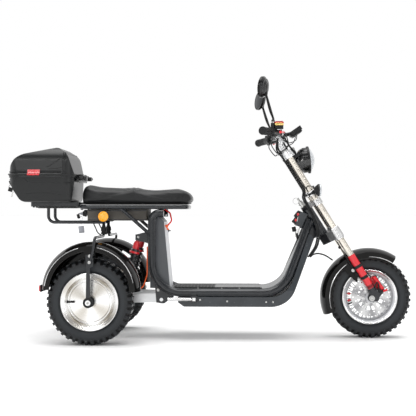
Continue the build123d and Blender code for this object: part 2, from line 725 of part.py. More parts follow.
# Rear rack: two posts, two rails and the plate under the case
plate_low = CASE_BOTTOM - SEAT_GAP - RACK_PLATE_THICK
rack_front = REAR_AXLE_X + 39
with BuildPart() as rear_rack:
    for way in (-1, 1):
        add(
            tube(
                [
                    (rack_front, way * RACK_Y, RACK_RAIL_Z),
                    (RACK_POST_X, way * RACK_Y, RACK_RAIL_Z),
                    (RACK_POST_X, way * RACK_Y, plate_low + 3),
                ],
                [32.0],
                RACK_TUBE_RADIUS,
            )
        )
    with BuildSketch(Plane.XY.offset(plate_low)):
        with Locations((CASE_FRONT_X - CASE_LENGTH / 2 + 60, 0)):
            RectangleRounded(CASE_LENGTH - 82, 206, 16)
    extrude(amount=RACK_PLATE_THICK)
rear_rack.part.label = "rear_rack"
export_step(rear_rack.part, "parts/rear_rack.step")


# Top case: tub below the rim and a hinged lid above it
def case_form(inset, low, high):
    """Case shape drawn in by a wall thickness, between two heights."""
    front = CASE_FRONT_X - inset
    rear = CASE_REAR_X + inset
    with BuildPart() as form:
        with BuildSketch(Plane.XY.offset(low)):
            with Locations(((front + rear) / 2, 0)):
                RectangleRounded(front - rear, 2 * (CASE_HALF_WIDTH - inset), 72 - inset)
        extrude(amount=high - low)
        with BuildSketch(Plane(origin=(0, 260, 0), x_dir=(1, 0, 0), z_dir=(0, -1, 0))):
            with BuildLine():
                FilletPolyline(
                    (front - 14, CASE_BOTTOM + inset),
                    (rear + 66, CASE_BOTTOM + inset),
                    (rear + 6, CASE_RIM_Z - 36),
                    (rear + 2, CASE_RIM_Z + 46),
                    (rear + 52, CASE_TOP - inset - 46),
                    (front - 86, CASE_TOP - inset - 5),
                    (front - 30, CASE_TOP - inset - 46),
                    (front, CASE_RIM_Z),
                    radius=[20, 44, 60, 60, 110, 40, 60, 90],
                    close=True,
                )
            make_face()
        extrude(amount=520, mode=Mode.INTERSECT)
        with BuildSketch(Plane(origin=(-1200, 0, 0), x_dir=(0, 1, 0), z_dir=(1, 0, 0))):
            with BuildLine():
                half = CASE_HALF_WIDTH - inset
                FilletPolyline(
                    (half - 26, CASE_BOTTOM + inset),
                    (half, CASE_RIM_Z),
                    (half - 18, CASE_TOP - inset),
                    (18 - half, CASE_TOP - inset),
                    (-half, CASE_RIM_Z),
                    (26 - half, CASE_BOTTOM + inset),
                    radius=[20, 300, 96, 96, 300, 20],
                    close=True,
                )
            make_face()
        extrude(amount=700, mode=Mode.INTERSECT)
    return form.part


rim_mid = (CASE_FRONT_X + CASE_REAR_X) / 2
with BuildPart() as case_tub:
    add(case_form(0, CASE_BOTTOM, CASE_RIM_Z - RUN_GAP))
    with BuildSketch(Plane.XY.offset(CASE_RIM_Z - RUN_GAP - 8)):
        with Locations((rim_mid, 0)):
            RectangleRounded(CASE_FRONT_X - CASE_REAR_X + 8, 2 * CASE_HALF_WIDTH + 12, 75)
    extrude(amount=8)
    add(case_form(CASE_WALL, CASE_BOTTOM, CASE_TOP), mode=Mode.SUBTRACT)
    for way in (-1, 1):
        with Locations((HINGE_X - 12, way * 70, CASE_RIM_Z - 8)):
            Box(24, 30, 14)
        with Locations((HINGE_X, way * 70, CASE_RIM_Z)):
            Cylinder(8, 30, rotation=(90, 0, 0))
case_tub.part.label = "case_tub"
export_step(case_tub.part, "parts/case_tub.step")

with BuildPart() as case_lid:
    add(case_form(0, CASE_RIM_Z + RUN_GAP, CASE_TOP))
    with BuildSketch(Plane.XY.offset(CASE_RIM_Z + RUN_GAP)):
        with Locations((rim_mid, 0)):
            RectangleRounded(CASE_FRONT_X - CASE_REAR_X + 8, 2 * CASE_HALF_WIDTH + 16, 75)
    extrude(amount=10)
    add(case_form(CASE_WALL, CASE_BOTTOM, CASE_TOP), mode=Mode.SUBTRACT)
    with Locations((CASE_REAR_X - 7, 0, CASE_RIM_Z + 20)):
        Box(16, 60, 36)
    for way in (-1, 1):
        with Locations((HINGE_X - 14, way * 36, CASE_RIM_Z + 6)):
            Box(28, 26, 10)
        with Locations((HINGE_X, way * 36, CASE_RIM_Z)):
            Cylinder(8, 26, rotation=(90, 0, 0))
    add(case_tub.part, mode=Mode.SUBTRACT)
case_lid.part.label = "case_lid"
export_step(case_lid.part, "parts/case_lid.step")

# Swingarm with its pivot tube, cross beam and shock lugs
with BuildPart() as swingarm:
    for way in (-1, 1):
        with Locations(((PIVOT_X + REAR_AXLE_X) / 2 - 4, way * ARM_Y, (PIVOT_Z + AXLE_Z) / 2 + 2)):
            Box(ARM_LENGTH + 8, ARM_THICK, 46)
        with Locations((PIVOT_X, way * ARM_Y, PIVOT_Z)):
            Cylinder(23, ARM_THICK + 4, rotation=(90, 0, 0))
        plate_in = way * (SHOCK_Y - SHOCK_EYE_WIDTH / 2 - 10.5)
        plate_out = way * (SHOCK_Y - SHOCK_EYE_WIDTH / 2 - 0.9)
        add(
            side_plate(
                [
                    (SHOCK_LOW_X - 40, SHOCK_LOW_Z - 38),
                    (SHOCK_LOW_X - 16, SHOCK_LOW_Z + 14),
                    (SHOCK_LOW_X + 16, SHOCK_LOW_Z + 14),
                    (SHOCK_LOW_X + 40, SHOCK_LOW_Z - 38),
                ],
                max(plate_in, plate_out),
                min(plate_in, plate_out),
            )
        )
        with Locations((SHOCK_LOW_X, way * (SHOCK_Y - 4), SHOCK_LOW_Z)):
            Cylinder(SHOCK_PIN_RADIUS, 32, rotation=(90, 0, 0))
    beam_half = REAR_WHEEL_Y - TYRE_WIDTH / 2 - 23
    with Locations((REAR_AXLE_X, 0, AXLE_Z)):
        Cylinder(32, 2 * beam_half, rotation=(90, 0, 0))
    with Locations((PIVOT_X, 0, PIVOT_Z)):
        Cylinder(PIVOT_PIN_RADIUS - PIN_FIT, 2 * (ARM_Y + 40), rotation=(90, 0, 0))
    with Locations((REAR_AXLE_X, 0, AXLE_Z)):
        Cylinder(REAR_AXLE_RADIUS + PIN_FIT, 2 * beam_half + 10, rotation=(90, 0, 0), mode=Mode.SUBTRACT)
swingarm.part.label = "swingarm"
export_step(swingarm.part, "parts/swingarm.step")

# Rear axle through the cross beam, with nuts outside the stays
stay_in = REAR_WHEEL_Y + REAR_GUARD_HALF_WIDTH + 2
with BuildPart() as rear_axle:
    with Locations((REAR_AXLE_X, 0, AXLE_Z)):
        Cylinder(REAR_AXLE_RADIUS, 2 * (stay_in + 18), rotation=(90, 0, 0))
    for way in (-1, 1):
        with Locations((REAR_AXLE_X, way * (stay_in + STAY_THICK + SEAT_GAP + 4), AXLE_Z)):
            Cylinder(13, 8, rotation=(90, 0, 0))
rear_axle.part.label = "rear_axle"
export_step(rear_axle.part, "parts/rear_axle.step")

# Rear shocks: eyes, body, spring and collar
shock_top = Vector(SHOCK_TOP_X, 0, SHOCK_TOP_Z)
shock_low = Vector(SHOCK_LOW_X, 0, SHOCK_LOW_Z)
shock_along = (shock_top - shock_low).normalized()
shock_length = (shock_top - shock_low).length
collar_at = shock_length - 84
spring_pitch = (collar_at - 36) / SPRING_TURNS
damper_radius = SPRING_RADIUS - SPRING_WIRE + 0.5
coil_radius = SPRING_RADIUS + SPRING_WIRE
coil_points = [(32, damper_radius)]
for turn in range(SPRING_TURNS):
    coil_low = 36 + spring_pitch * turn
    coil_points.append((coil_low + spring_pitch * 0.15, damper_radius))
    coil_points.append((coil_low + spring_pitch * 0.3, coil_radius))
    coil_points.append((coil_low + spring_pitch * 0.6, coil_radius))
    coil_points.append((coil_low + spring_pitch * 0.75, damper_radius))
# columns: start up the shock, end up the shock, radius
shock_steps = [
    (0, shock_length, 9),
    (22, collar_at + 4, damper_radius),
    (24, 32, SPRING_RADIUS + 5),
    (collar_at, collar_at + 9, SPRING_RADIUS + 7),
    (collar_at + 4, collar_at + 20, SPRING_RADIUS + 2),
    (collar_at + 26, collar_at + 52, SPRING_RADIUS - 2),
    (collar_at + 18, collar_at + 60, SPRING_RADIUS - 5),
]
with BuildPart() as rear_shocks:
    for way in (-1, 1):
        foot = shock_low + Vector(0, way * SHOCK_Y, 0)
        with Locations(foot, shock_top + Vector(0, way * SHOCK_Y, 0)):
            Cylinder(SHOCK_EYE_RADIUS, SHOCK_EYE_WIDTH, rotation=(90, 0, 0))
        for low, high, step_radius in shock_steps:
            with BuildSketch(Plane(origin=foot + shock_along * low, x_dir=(0, 1, 0), z_dir=shock_along)):
                Circle(step_radius)
            extrude(amount=high - low)
        # spring coils, as rings with sloping sides
        with BuildSketch(Plane(origin=foot, x_dir=shock_along, z_dir=(0, 1, 0))):
            with BuildLine():
                Polyline((32, 6), *coil_points, (collar_at, damper_radius), (collar_at, 6), close=True)
            make_face()
        revolve(axis=Axis(foot, shock_along))
        with Locations(foot):
            Cylinder(SHOCK_PIN_RADIUS + PIN_FIT, 40, rotation=(90, 0, 0), mode=Mode.SUBTRACT)
rear_shocks.part.label = "rear_shocks"
export_step(rear_shocks.part, "parts/rear_shocks.step")

# Rear mudguards
guard_z = AXLE_Z + REAR_GUARD_LIFT
with BuildPart() as rear_guards:
    for way in (-1, 1):
        add(
            guard(
                REAR_AXLE_X + REAR_GUARD_AHEAD,
                guard_z,
                way * REAR_WHEEL_Y,
                REAR_GUARD_RADIUS,
                REAR_GUARD_HALF_WIDTH,
                REAR_GUARD_RADIUS - REAR_SKIRT,
                0,
                177,
            )
        )
        # tab that the stay is bolted to
        tab_in = way * (REAR_WHEEL_Y + REAR_GUARD_HALF_WIDTH - GUARD_WALL)
        tab_out = way * (stay_in - SEAT_GAP)
        tab_top = guard_z + REAR_GUARD_RADIUS - REAR_SKIRT + 9
        add(
            side_plate(
                [
                    (REAR_AXLE_X - 12, AXLE_Z + 172),
                    (REAR_AXLE_X + 16, AXLE_Z + 172),
                    (REAR_AXLE_X + 24, tab_top),
                    (REAR_AXLE_X - 20, tab_top),
                ],
                max(tab_in, tab_out),
                min(tab_in, tab_out),
            )
        )
rear_guards.part.label = "rear_guards"
export_step(rear_guards.part, "parts/rear_guards.step")

# Stays from the axle ends over the mudguards up to the rack rails
with BuildPart() as guard_stays:
    for way in (-1, 1):
        bar_in = way * stay_in
        bar_out = way * (stay_in + STAY_THICK)
        add(
            side_plate(
                [
                    (REAR_AXLE_X - 11, AXLE_Z - 14),
                    (REAR_AXLE_X + 11, AXLE_Z - 14),
                    (REAR_AXLE_X + 9, AXLE_Z + 166),
                    (REAR_AXLE_X + 26, AXLE_Z + 176),
                    (REAR_AXLE_X + 22, AXLE_Z + 230),
                    (REAR_AXLE_X - 12, AXLE_Z + 230),
                    (REAR_AXLE_X - 9, AXLE_Z + 166),
                ],
                max(bar_in, bar_out),
                min(bar_in, bar_out),
            )
        )
        with Locations((REAR_AXLE_X, way * (stay_in + STAY_THICK / 2), AXLE_Z)):
            Cylinder(24, STAY_THICK, rotation=(90, 0, 0))
            Cylinder(REAR_AXLE_RADIUS + PIN_FIT, 40, rotation=(90, 0, 0), mode=Mode.SUBTRACT)
        tube_y = way * (stay_in + 8)
        stay_over = guard_z + REAR_GUARD_RADIUS + STAY_TUBE_RADIUS + 14
        add(
            tube(
                [
                    (REAR_AXLE_X + 8, tube_y, AXLE_Z + 186),
                    (REAR_AXLE_X + 26, tube_y, stay_over - 52),
                    (REAR_AXLE_X + 32, tube_y, stay_over),
                    (REAR_AXLE_X + 31, way * RACK_Y, stay_over),
                    (REAR_AXLE_X + 30, way * RACK_Y, RACK_RAIL_Z - RACK_TUBE_RADIUS - SEAT_GAP),
                ],
                [40.0, 22.0, 26.0],
                STAY_TUBE_RADIUS,
            )
        )
guard_stays.part.label = "guard_stays"
export_step(guard_stays.part, "parts/guard_stays.step")

# Amber lamps on stalks beside the box under the seat
lamp_x = REAR_AXLE_X + 37
lamp_z = box_low + 22
lamp_in = BOX_HALF_WIDTH + 34
with BuildPart() as side_lamps:
    for way in (-1, 1):
        with Locations((lamp_x, way * (lamp_in + LAMP_THICK / 2), lamp_z)):
            Cylinder(SIDE_LAMP_RADIUS, LAMP_THICK, rotation=(90, 0, 0))
        with Locations((lamp_x, way * (lamp_in + BOX_HALF_WIDTH + SEAT_GAP) / 2, lamp_z)):
            Cylinder(8, lamp_in - BOX_HALF_WIDTH - SEAT_GAP + 4, rotation=(90, 0, 0))
        with Locations((lamp_x, way * (BOX_HALF_WIDTH + SEAT_GAP - 5), lamp_z)):
            Box(40, 10, 40, mode=Mode.SUBTRACT)
side_lamps.part.label = "side_lamps"
export_step(side_lamps.part, "parts/side_lamps.step")

# Red reflectors at the rear tips of the mudguards
reflector_x = REAR_AXLE_X + REAR_GUARD_AHEAD - REAR_GUARD_RADIUS - SEAT_GAP - 5
with BuildPart() as tail_reflectors:
    for way in (-1, 1):
        with Locations((reflector_x, way * REAR_WHEEL_Y, guard_z + 14)):
            Box(10, 60, 28)
tail_reflectors.part.label = "tail_reflectors"
export_step(tail_reflectors.part, "parts/tail_reflectors.step")

# Rear brake hose down the back of the right upright to the swingarm
with BuildPart() as rear_brake_hose:
    add(
        tube(
            [
                (FRAME_REAR_X - FRAME_TUBE_RADIUS - 3 - SEAT_GAP, -FRAME_TUBE_Y, SEAT_RAIL_Z - 200),
                (FRAME_REAR_X - FRAME_TUBE_RADIUS - 3 - SEAT_GAP, -FRAME_TUBE_Y, AXLE_Z + 120),
                (FRAME_REAR_X - 44, -FRAME_TUBE_Y, AXLE_Z + 52),
                (FRAME_REAR_X - 128, -ARM_Y - ARM_THICK / 2 - 3.5, AXLE_Z + 26),
                (FRAME_REAR_X - 228, -ARM_Y - ARM_THICK / 2 - 3.5, AXLE_Z + 26),
            ],
            [60.0, 40.0, 40.0],
            3,
        )
    )
rear_brake_hose.part.label = "rear_brake_hose"
export_step(rear_brake_hose.part, "parts/rear_brake_hose.step")

# Foot pegs, folded back along the floor
for way, peg_name in ((-1, "foot_peg_right"), (1, "foot_peg_left")):
    with BuildPart() as foot_peg:
        with Locations((PEG_X, way * PEG_Y, PEG_Z)):
            Cylinder(11, 16)
        add(rod((PEG_X, way * PEG_Y, PEG_Z), (PEG_X - PEG_LENGTH, way * PEG_Y, PEG_Z), 7.5))
        with Locations((PEG_X, way * PEG_Y, PEG_Z)):
            Cylinder(PEG_PIN_RADIUS + PIN_FIT, 40, mode=Mode.SUBTRACT)
    foot_peg.part.label = peg_name
    export_step(foot_peg.part, "parts/" + peg_name + ".step")

# Steering stem with the lower and upper crowns
leg_spots = [(CROWN_OFFSET, LEG_Y), (CROWN_OFFSET, -LEG_Y)]


def crown(low, high, boss, back):
    """Crown plate around the fork tubes and the stem."""
    with BuildPart() as plate:
        with BuildSketch(across_fork.offset(low)):
            with Locations(*leg_spots):
                Circle(boss)
            with Locations((0, 0)):
                Circle(back)
            make_hull()
            with Locations(*leg_spots):
                Circle(FORK_TUBE_RADIUS + PIN_FIT, mode=Mode.SUBTRACT)
        extrude(amount=high - low)
    return plate.part


with BuildPart() as steering_stem:
    add(crown(LOWER_CROWN_BOTTOM, LOWER_CROWN_TOP, FORK_TUBE_RADIUS + CLAMP_WALL + 1, HEAD_TUBE_RADIUS + 1))
    add(crown(UPPER_CROWN_BOTTOM, UPPER_CROWN_TOP, FORK_TUBE_RADIUS + CLAMP_WALL - 1, HEAD_TUBE_RADIUS - 1))
    with BuildSketch(across_fork.offset(LOWER_CROWN_TOP - 1)):
        Circle(STEM_RADIUS)
    extrude(amount=UPPER_CROWN_BOTTOM - LOWER_CROWN_TOP + 2)
steering_stem.part.label = "steering_stem"
export_step(steering_stem.part, "parts/steering_stem.step")

# Fork tubes and lower legs
with BuildPart() as fork_tubes:
    with BuildSketch(across_fork.offset(LOWER_LEG_TOP + SEAT_GAP)):
        with Locations(*leg_spots):
            Circle(FORK_TUBE_RADIUS)
    extrude(amount=TOP_CROWN_TOP - LOWER_LEG_TOP - SEAT_GAP)
fork_tubes.part.label = "fork_tubes"
export_step(fork_tubes.part, "parts/fork_tubes.step")

with BuildPart() as fork_lowers:
    with BuildSketch(across_fork.offset(LOWER_LEG_BOTTOM)):
        with Locations(*leg_spots):
            Circle(LOWER_LEG_RADIUS)
    extrude(amount=LOWER_LEG_TOP - LOWER_LEG_BOTTOM)
fork_lowers.part.label = "fork_lowers"
export_step(fork_lowers.part, "parts/fork_lowers.step")

# Dropouts at the feet of the legs, with the arm that carries the brake caliper
with BuildPart() as fork_dropouts:
    for way in (-1, 1):
        with BuildSketch(beside_fork.offset(-way * LEG_Y - DROPOUT_THICK / 2)):
            with Locations((CROWN_OFFSET, LOWER_LEG_BOTTOM - SEAT_GAP - 20)):
                Circle(19)
            with Locations((axle_ahead, 0)):
                Circle(18)
            with Locations((CROWN_OFFSET - 8, -14)):
                Circle(16)
            make_hull()
            with Locations((axle_ahead, 0)):
                Circle(FRONT_AXLE_RADIUS + PIN_FIT, mode=Mode.SUBTRACT)
        extrude(amount=DROPOUT_THICK)
        with BuildSketch(across_fork.offset(LOWER_LEG_BOTTOM - SEAT_GAP)):
            with Locations((CROWN_OFFSET, way * LEG_Y)):
                Circle(LOWER_LEG_RADIUS)
        extrude(amount=-20)
    with BuildSketch(beside_fork.offset(LEG_Y - DROPOUT_THICK / 2)):
        with BuildLine():
            Polyline((60, -22), (96, -8), (110, 10), (110, 88), (94, 88), (90, 14), (62, 6), close=True)
        make_face()
    extrude(amount=12)
fork_dropouts.part.label = "fork_dropouts"
export_step(fork_dropouts.part, "parts/fork_dropouts.step")

# Front axle with end nuts
hub_half = LEG_Y - DROPOUT_THICK / 2 - RUN_GAP
with BuildPart() as front_axle:
    with Locations((FRONT_AXLE_X, 0, AXLE_Z)):
        Cylinder(FRONT_AXLE_RADIUS, 2 * (LEG_Y + 24), rotation=(90, 0, 0))
    for way in (-1, 1):
        with Locations((FRONT_AXLE_X, way * (LEG_Y + DROPOUT_THICK / 2 + SEAT_GAP + 5), AXLE_Z)):
            Cylinder(12, 10, rotation=(90, 0, 0))
front_axle.part.label = "front_axle"
export_step(front_axle.part, "parts/front_axle.step")

# Red brake caliper over the rim of the disc
with BuildPart() as brake_caliper:
    with BuildSketch(beside_fork.offset(-DISC_Y - 20)):
        with BuildLine():
            Polyline((78, 10), (104, 14), (104, 86), (78, 86), close=True)
        make_face()
    extrude(amount=LEG_Y - DROPOUT_THICK / 2 - SEAT_GAP + DISC_Y + 20)
    with BuildSketch(wheel_plane(FRONT_AXLE_X, DISC_Y)):
        with Locations((DISC_RADIUS / 2 + 2, 0)):
            Rectangle(DISC_RADIUS + 4, 9)
    revolve(axis=wheel_axis(FRONT_AXLE_X, DISC_Y), mode=Mode.SUBTRACT)
brake_caliper.part.label = "brake_caliper"
export_step(brake_caliper.part, "parts/brake_caliper.step")

# Front mudguard, held by a plate on each leg
with BuildPart() as front_guard:
    add(
        guard(
            FRONT_AXLE_X,
            AXLE_Z,
            0,
            FRONT_GUARD_RADIUS,
            FRONT_GUARD_HALF_WIDTH,
            FRONT_GUARD_RADIUS - FRONT_SKIRT,
            57,
            202,
        )
    )
    for way in (-1, 1):
        plate_in = way * (FRONT_GUARD_HALF_WIDTH - 1)
        plate_out = way * (LEG_Y - LOWER_LEG_RADIUS - SEAT_GAP)
        add(
            side_plate(
                [
                    (FRONT_AXLE_X - 135, AXLE_Z + 142),
                    (FRONT_AXLE_X - 109, AXLE_Z + 188),
                    (FRONT_AXLE_X - 53, AXLE_Z + 142),
                    (FRONT_AXLE_X - 41, AXLE_Z + 102),
                    (FRONT_AXLE_X - 73, AXLE_Z + 76),
                ],
                max(plate_in, plate_out),
                min(plate_in, plate_out),
            )
        )
front_guard.part.label = "front_guard"
export_step(front_guard.part, "parts/front_guard.step")

# Top crown with two risers that clamp the handlebar
slot_mid = (CROWN_OFFSET + BAR_LEAD * 0.45, TOP_CROWN_TOP + BAR_RISE * 0.42)
slot_lean = 90 - degrees(atan2(BAR_LEAD, BAR_RISE))
with BuildPart() as top_crown:
    with BuildSketch(across_fork.offset(TOP_CROWN_BOTTOM)):
        with Locations(*leg_spots):
            Circle(FORK_TUBE_RADIUS + CLAMP_WALL + 3)
        make_hull()
    extrude(amount=TOP_CROWN_TOP - TOP_CROWN_BOTTOM, taper=9)
    for way in (-1, 1):
        with BuildSketch(beside_fork.offset(-way * 38 - 8)):
            with BuildLine():
                Polyline(
                    (CROWN_OFFSET - 15, TOP_CROWN_TOP - 1),
                    (CROWN_OFFSET + 15, TOP_CROWN_TOP - 1),
                    (bar_ahead + 14, bar_up),
                    (bar_ahead - 14, bar_up),
                    close=True,
                )
            make_face()
            with Locations((bar_ahead, bar_up)):
                Circle(BAR_RADIUS + 9)
                Circle(BAR_RADIUS + PIN_FIT, mode=Mode.SUBTRACT)
            with Locations(Location(slot_mid, (0, 0, slot_lean))):
                SlotCenterToCenter(BAR_RISE * 0.42, 11, mode=Mode.SUBTRACT)
        extrude(amount=16)
    with BuildSketch(across_fork.offset(TOP_CROWN_BOTTOM - 1)):
        with Locations(*leg_spots):
            Circle(FORK_TUBE_RADIUS + PIN_FIT)
    extrude(amount=TOP_CROWN_TOP - TOP_CROWN_BOTTOM + 2, mode=Mode.SUBTRACT)
top_crown.part.label = "top_crown"
export_step(top_crown.part, "parts/top_crown.step")

# Handlebar with swept ends
bar_tip_z = BAR_Z - BAR_DROOP
with BuildPart() as handlebar:
    add(
        tube(
            [
                (BAR_X - BAR_SWEEP, -BAR_HALF_WIDTH, bar_tip_z),
                (BAR_X, -BAR_KNEE, BAR_Z),
                (BAR_X, BAR_KNEE, BAR_Z),
                (BAR_X - BAR_SWEEP, BAR_HALF_WIDTH, bar_tip_z),
            ],
            [60.0, 60.0],
            BAR_RADIUS,
        )
    )
handlebar.part.label = "handlebar"
export_step(handlebar.part, "parts/handlebar.step")


def bar_spot(way, distance):
    """Point and direction on the swept end, a distance in from its tip."""
    tip = Vector(BAR_X - BAR_SWEEP, way * BAR_HALF_WIDTH, bar_tip_z)
    inward = (Vector(BAR_X, way * BAR_KNEE, BAR_Z) - tip).normalized()
    return tip + inward * distance, inward


# Grips and the control blocks beside them
with BuildPart() as grips:
    for way in (-1, 1):
        spot, inward = bar_spot(way, -3)
        with BuildSketch(Plane(origin=spot, z_dir=inward)):
            Circle(GRIP_RADIUS)
        extrude(amount=GRIP_LENGTH + 3)
        spot, inward = bar_spot(way, 0)
        with BuildSketch(Plane(origin=spot, z_dir=inward)):
            Circle(BAR_RADIUS + PIN_FIT)
        extrude(amount=GRIP_LENGTH + 3, mode=Mode.SUBTRACT)
grips.part.label = "grips"
export_step(grips.part, "parts/grips.step")

with BuildPart() as brake_controls:
    for way in (-1, 1):
        spot, inward = bar_spot(way, GRIP_LENGTH + 4)
        with BuildSketch(Plane(origin=spot, z_dir=inward)):
            Circle(21)
        extrude(amount=52)
        perch = bar_spot(way, GRIP_LENGTH + 34)[0]
        add(rod(perch, perch + Vector(0, 0, PERCH_RISE), 12))
        # master cylinder and its reservoir ahead of the bar
        add(rod(perch, perch + Vector(44, 0, 4), 11))
        with Locations(perch + Vector(30, 0, PERCH_RISE / 2 + 12)):
            Box(40, 30, PERCH_RISE / 2 + 12)
        lever_out = bar_spot(way, 18)[0] + Vector(46, 0, -10)
        add(tube([perch, perch + Vector(46, 0, -8), lever_out], [16.0], 6))
        spot, inward = bar_spot(way, GRIP_LENGTH)
        with BuildSketch(Plane(origin=spot, z_dir=inward)):
            Circle(BAR_RADIUS + PIN_FIT)
        extrude(amount=70, mode=Mode.SUBTRACT)
brake_controls.part.label = "brake_controls"
export_step(brake_controls.part, "parts/brake_controls.step")

# Mirrors on stems that stand on the control blocks
with BuildPart() as mirrors:
    for way in (-1, 1):
        perch = bar_spot(way, GRIP_LENGTH + 34)[0]
        stem_foot = perch + Vector(0, 0, PERCH_RISE + SEAT_GAP)
        mirror_mid = Vector(perch.X - 50, way * (BAR_HALF_WIDTH - 118), BAR_Z + MIRROR_RISE)
        facing = Plane(origin=mirror_mid, x_dir=(0, 1, 0), z_dir=(1, way * 0.42, -0.14))
        with BuildSketch(facing):
            Circle(MIRROR_RADIUS)
        extrude(amount=-7)
        with BuildSketch(facing):
            Circle(MIRROR_RADIUS)
        extrude(amount=14, taper=35)
        with BuildSketch(facing.offset(13)):
            Circle(MIRROR_RADIUS - 14)
        extrude(amount=8, taper=60)
        stem_head = mirror_mid + Vector(12, way * 4, -MIRROR_RADIUS / 2)
        add(tube([stem_foot, stem_foot + Vector(0, 0, 26), stem_head], [30.0], 5))
        add(rod(stem_foot, stem_foot + Vector(0, 0, 16), 9))
mirrors.part.label = "mirrors"
export_step(mirrors.part, "parts/mirrors.step")

# Display ahead of the bar
with BuildPart() as display:
    with BuildSketch(Plane(origin=(BAR_X + 83, 0, BAR_Z + 20), x_dir=(0, 1, 0), z_dir=(-0.57, 0, 0.82))):
        RectangleRounded(96, 72, 12)
    extrude(amount=9, both=True)
    add(rod((BAR_X + 8, 0, BAR_Z), (BAR_X + 81, 0, BAR_Z + 14), 10))
    with Locations((BAR_X, 0, BAR_Z)):
        Cylinder(18, 34, rotation=(90, 0, 0))
        Cylinder(BAR_RADIUS + PIN_FIT, 80, rotation=(90, 0, 0), mode=Mode.SUBTRACT)
display.part.label = "display"
export_step(display.part, "parts/display.step")

# Headlight bowl and lens between two arms on the fork tubes
lamp_tilt = radians(6)
lamp_out = Vector(cos(lamp_tilt), 0, sin(lamp_tilt))
lamp_ahead = CROWN_OFFSET + LAMP_AHEAD
lamp_mid = fork_point(lamp_ahead, 0, LAMP_UP)
lamp_side = Plane(origin=lamp_mid, x_dir=lamp_out, z_dir=(0, -1, 0))
with BuildPart() as headlight:
    with BuildSketch(lamp_side):
        with BuildLine():
            Line((0, 0), (0, LAMP_RADIUS))
            Polyline((0, LAMP_RADIUS), (-7, LAMP_RADIUS), (-9, LAMP_RADIUS - 4), (-30, LAMP_RADIUS - 5))
            ThreePointArc((-30, LAMP_RADIUS - 5), (-50, LAMP_RADIUS - 14), (-62, LAMP_RADIUS - 36))
            Polyline((-62, LAMP_RADIUS - 36), (-66, LAMP_RADIUS - 40), (-66, 0), (0, 0))
        make_face()
    revolve(axis=Axis(lamp_mid, lamp_out))
    for way in (-1, 1):
        with BuildSketch(beside_fork.offset(-way * (LAMP_RADIUS + 2.3) - 4)):
            with BuildLine():
                Polyline(
                    (CROWN_OFFSET - 14, LAMP_UP + 30),
                    (lamp_ahead - 2, LAMP_UP + 2),
                    (lamp_ahead - 10, LAMP_UP - 24),
                    (CROWN_OFFSET - 14, LAMP_UP - 18),
                    close=True,
                )
            make_face()
        extrude(amount=8)
    with BuildSketch(across_fork.offset(LAMP_UP - 200)):
        with Locations(*leg_spots):
            Circle(FORK_TUBE_RADIUS + PIN_FIT)
    extrude(amount=400, mode=Mode.SUBTRACT)
headlight.part.label = "headlight"
export_step(headlight.part, "parts/headlight.step")

# Lens dome: part of a ball that meets the lamp's axis squarely
dome_radius = ((LAMP_RADIUS - 4) ** 2 + DOME_HEIGHT**2) / (2 * DOME_HEIGHT)
dome_half = asin((LAMP_RADIUS - 4) / dome_radius) / 2
dome_mid_out = DOME_HEIGHT - dome_radius * (1 - cos(dome_half))
dome_mid_up = dome_radius * sin(dome_half)
with BuildPart() as headlight_lens:
    with BuildSketch(lamp_side):
        with BuildLine():
            Line((SEAT_GAP, 0), (SEAT_GAP, LAMP_RADIUS - 4))
            Line((SEAT_GAP, LAMP_RADIUS - 4), (3, LAMP_RADIUS - 4))
            ThreePointArc((3, LAMP_RADIUS - 4), (3 + dome_mid_out, dome_mid_up), (3 + DOME_HEIGHT, 0))
            Line((3 + DOME_HEIGHT, 0), (SEAT_GAP, 0))
        make_face()
    revolve(axis=Axis(lamp_mid, lamp_out))
headlight_lens.part.label = "headlight_lens"
export_step(headlight_lens.part, "parts/headlight_lens.step")

# Front indicators on rings around the fork tubes
with BuildPart() as front_indicators:
    for way in (-1, 1):
        blinker = fork_point(CROWN_OFFSET + 29, way * (LEG_Y + 50), 606)
        with BuildSketch(across_fork.offset(600)):
            with Locations((CROWN_OFFSET, way * LEG_Y)):
                Circle(FORK_TUBE_RADIUS + 6)
        extrude(amount=18)
        add(rod(fork_point(CROWN_OFFSET, way * LEG_Y, 609), blinker - Vector(4, 0, 0), 7))
        with BuildSketch(Plane(origin=blinker + Vector(13, 0, 0), x_dir=(0, 1, 0), z_dir=(1, 0, 0))):
            Circle(30)
        extrude(amount=-14)
        with BuildSketch(Plane(origin=blinker - Vector(1, 0, 0), x_dir=(0, 1, 0), z_dir=(1, 0, 0))):
            Circle(30)
        extrude(amount=-16, taper=40)
        with BuildSketch(across_fork.offset(590)):
            with Locations((CROWN_OFFSET, way * LEG_Y)):
                Circle(FORK_TUBE_RADIUS + PIN_FIT)
        extrude(amount=60, mode=Mode.SUBTRACT)
front_indicators.part.label = "front_indicators"
export_step(front_indicators.part, "parts/front_indicators.step")

cable_ahead = CROWN_OFFSET - FORK_TUBE_RADIUS - CLAMP_WALL - 3 - 4 - SEAT_GAP

# Cables from the bar, down behind the right fork tube and into the frame beside the neck
with BuildPart() as steering_cables:
    add(
        tube(
            [
                (BAR_X - 13, -96, BAR_Z - 20),
                fork_point(cable_ahead, -LEG_Y, TOP_CROWN_TOP + 42),
                fork_point(cable_ahead, -LEG_Y, UPPER_CROWN_TOP + 68),
                fork_point(-14, -76, 500),
                (NECK_X + 45, -93.5, NECK_Z - 100),
                (NECK_X - 9, -93.5, NECK_Z - 148),
            ],
            [60.0, 60.0, 60.0, 40.0],
            4,
        )
    )
steering_cables.part.label = "steering_cables"
export_step(steering_cables.part, "parts/steering_cables.step")

# Front wheel: tyre, rim with crossing spokes, and brake disc
with BuildPart() as front_tyre:
    add(tyre(FRONT_AXLE_X, 0))
front_tyre.part.label = "front_tyre"
export_step(front_tyre.part, "parts/front_tyre.step")

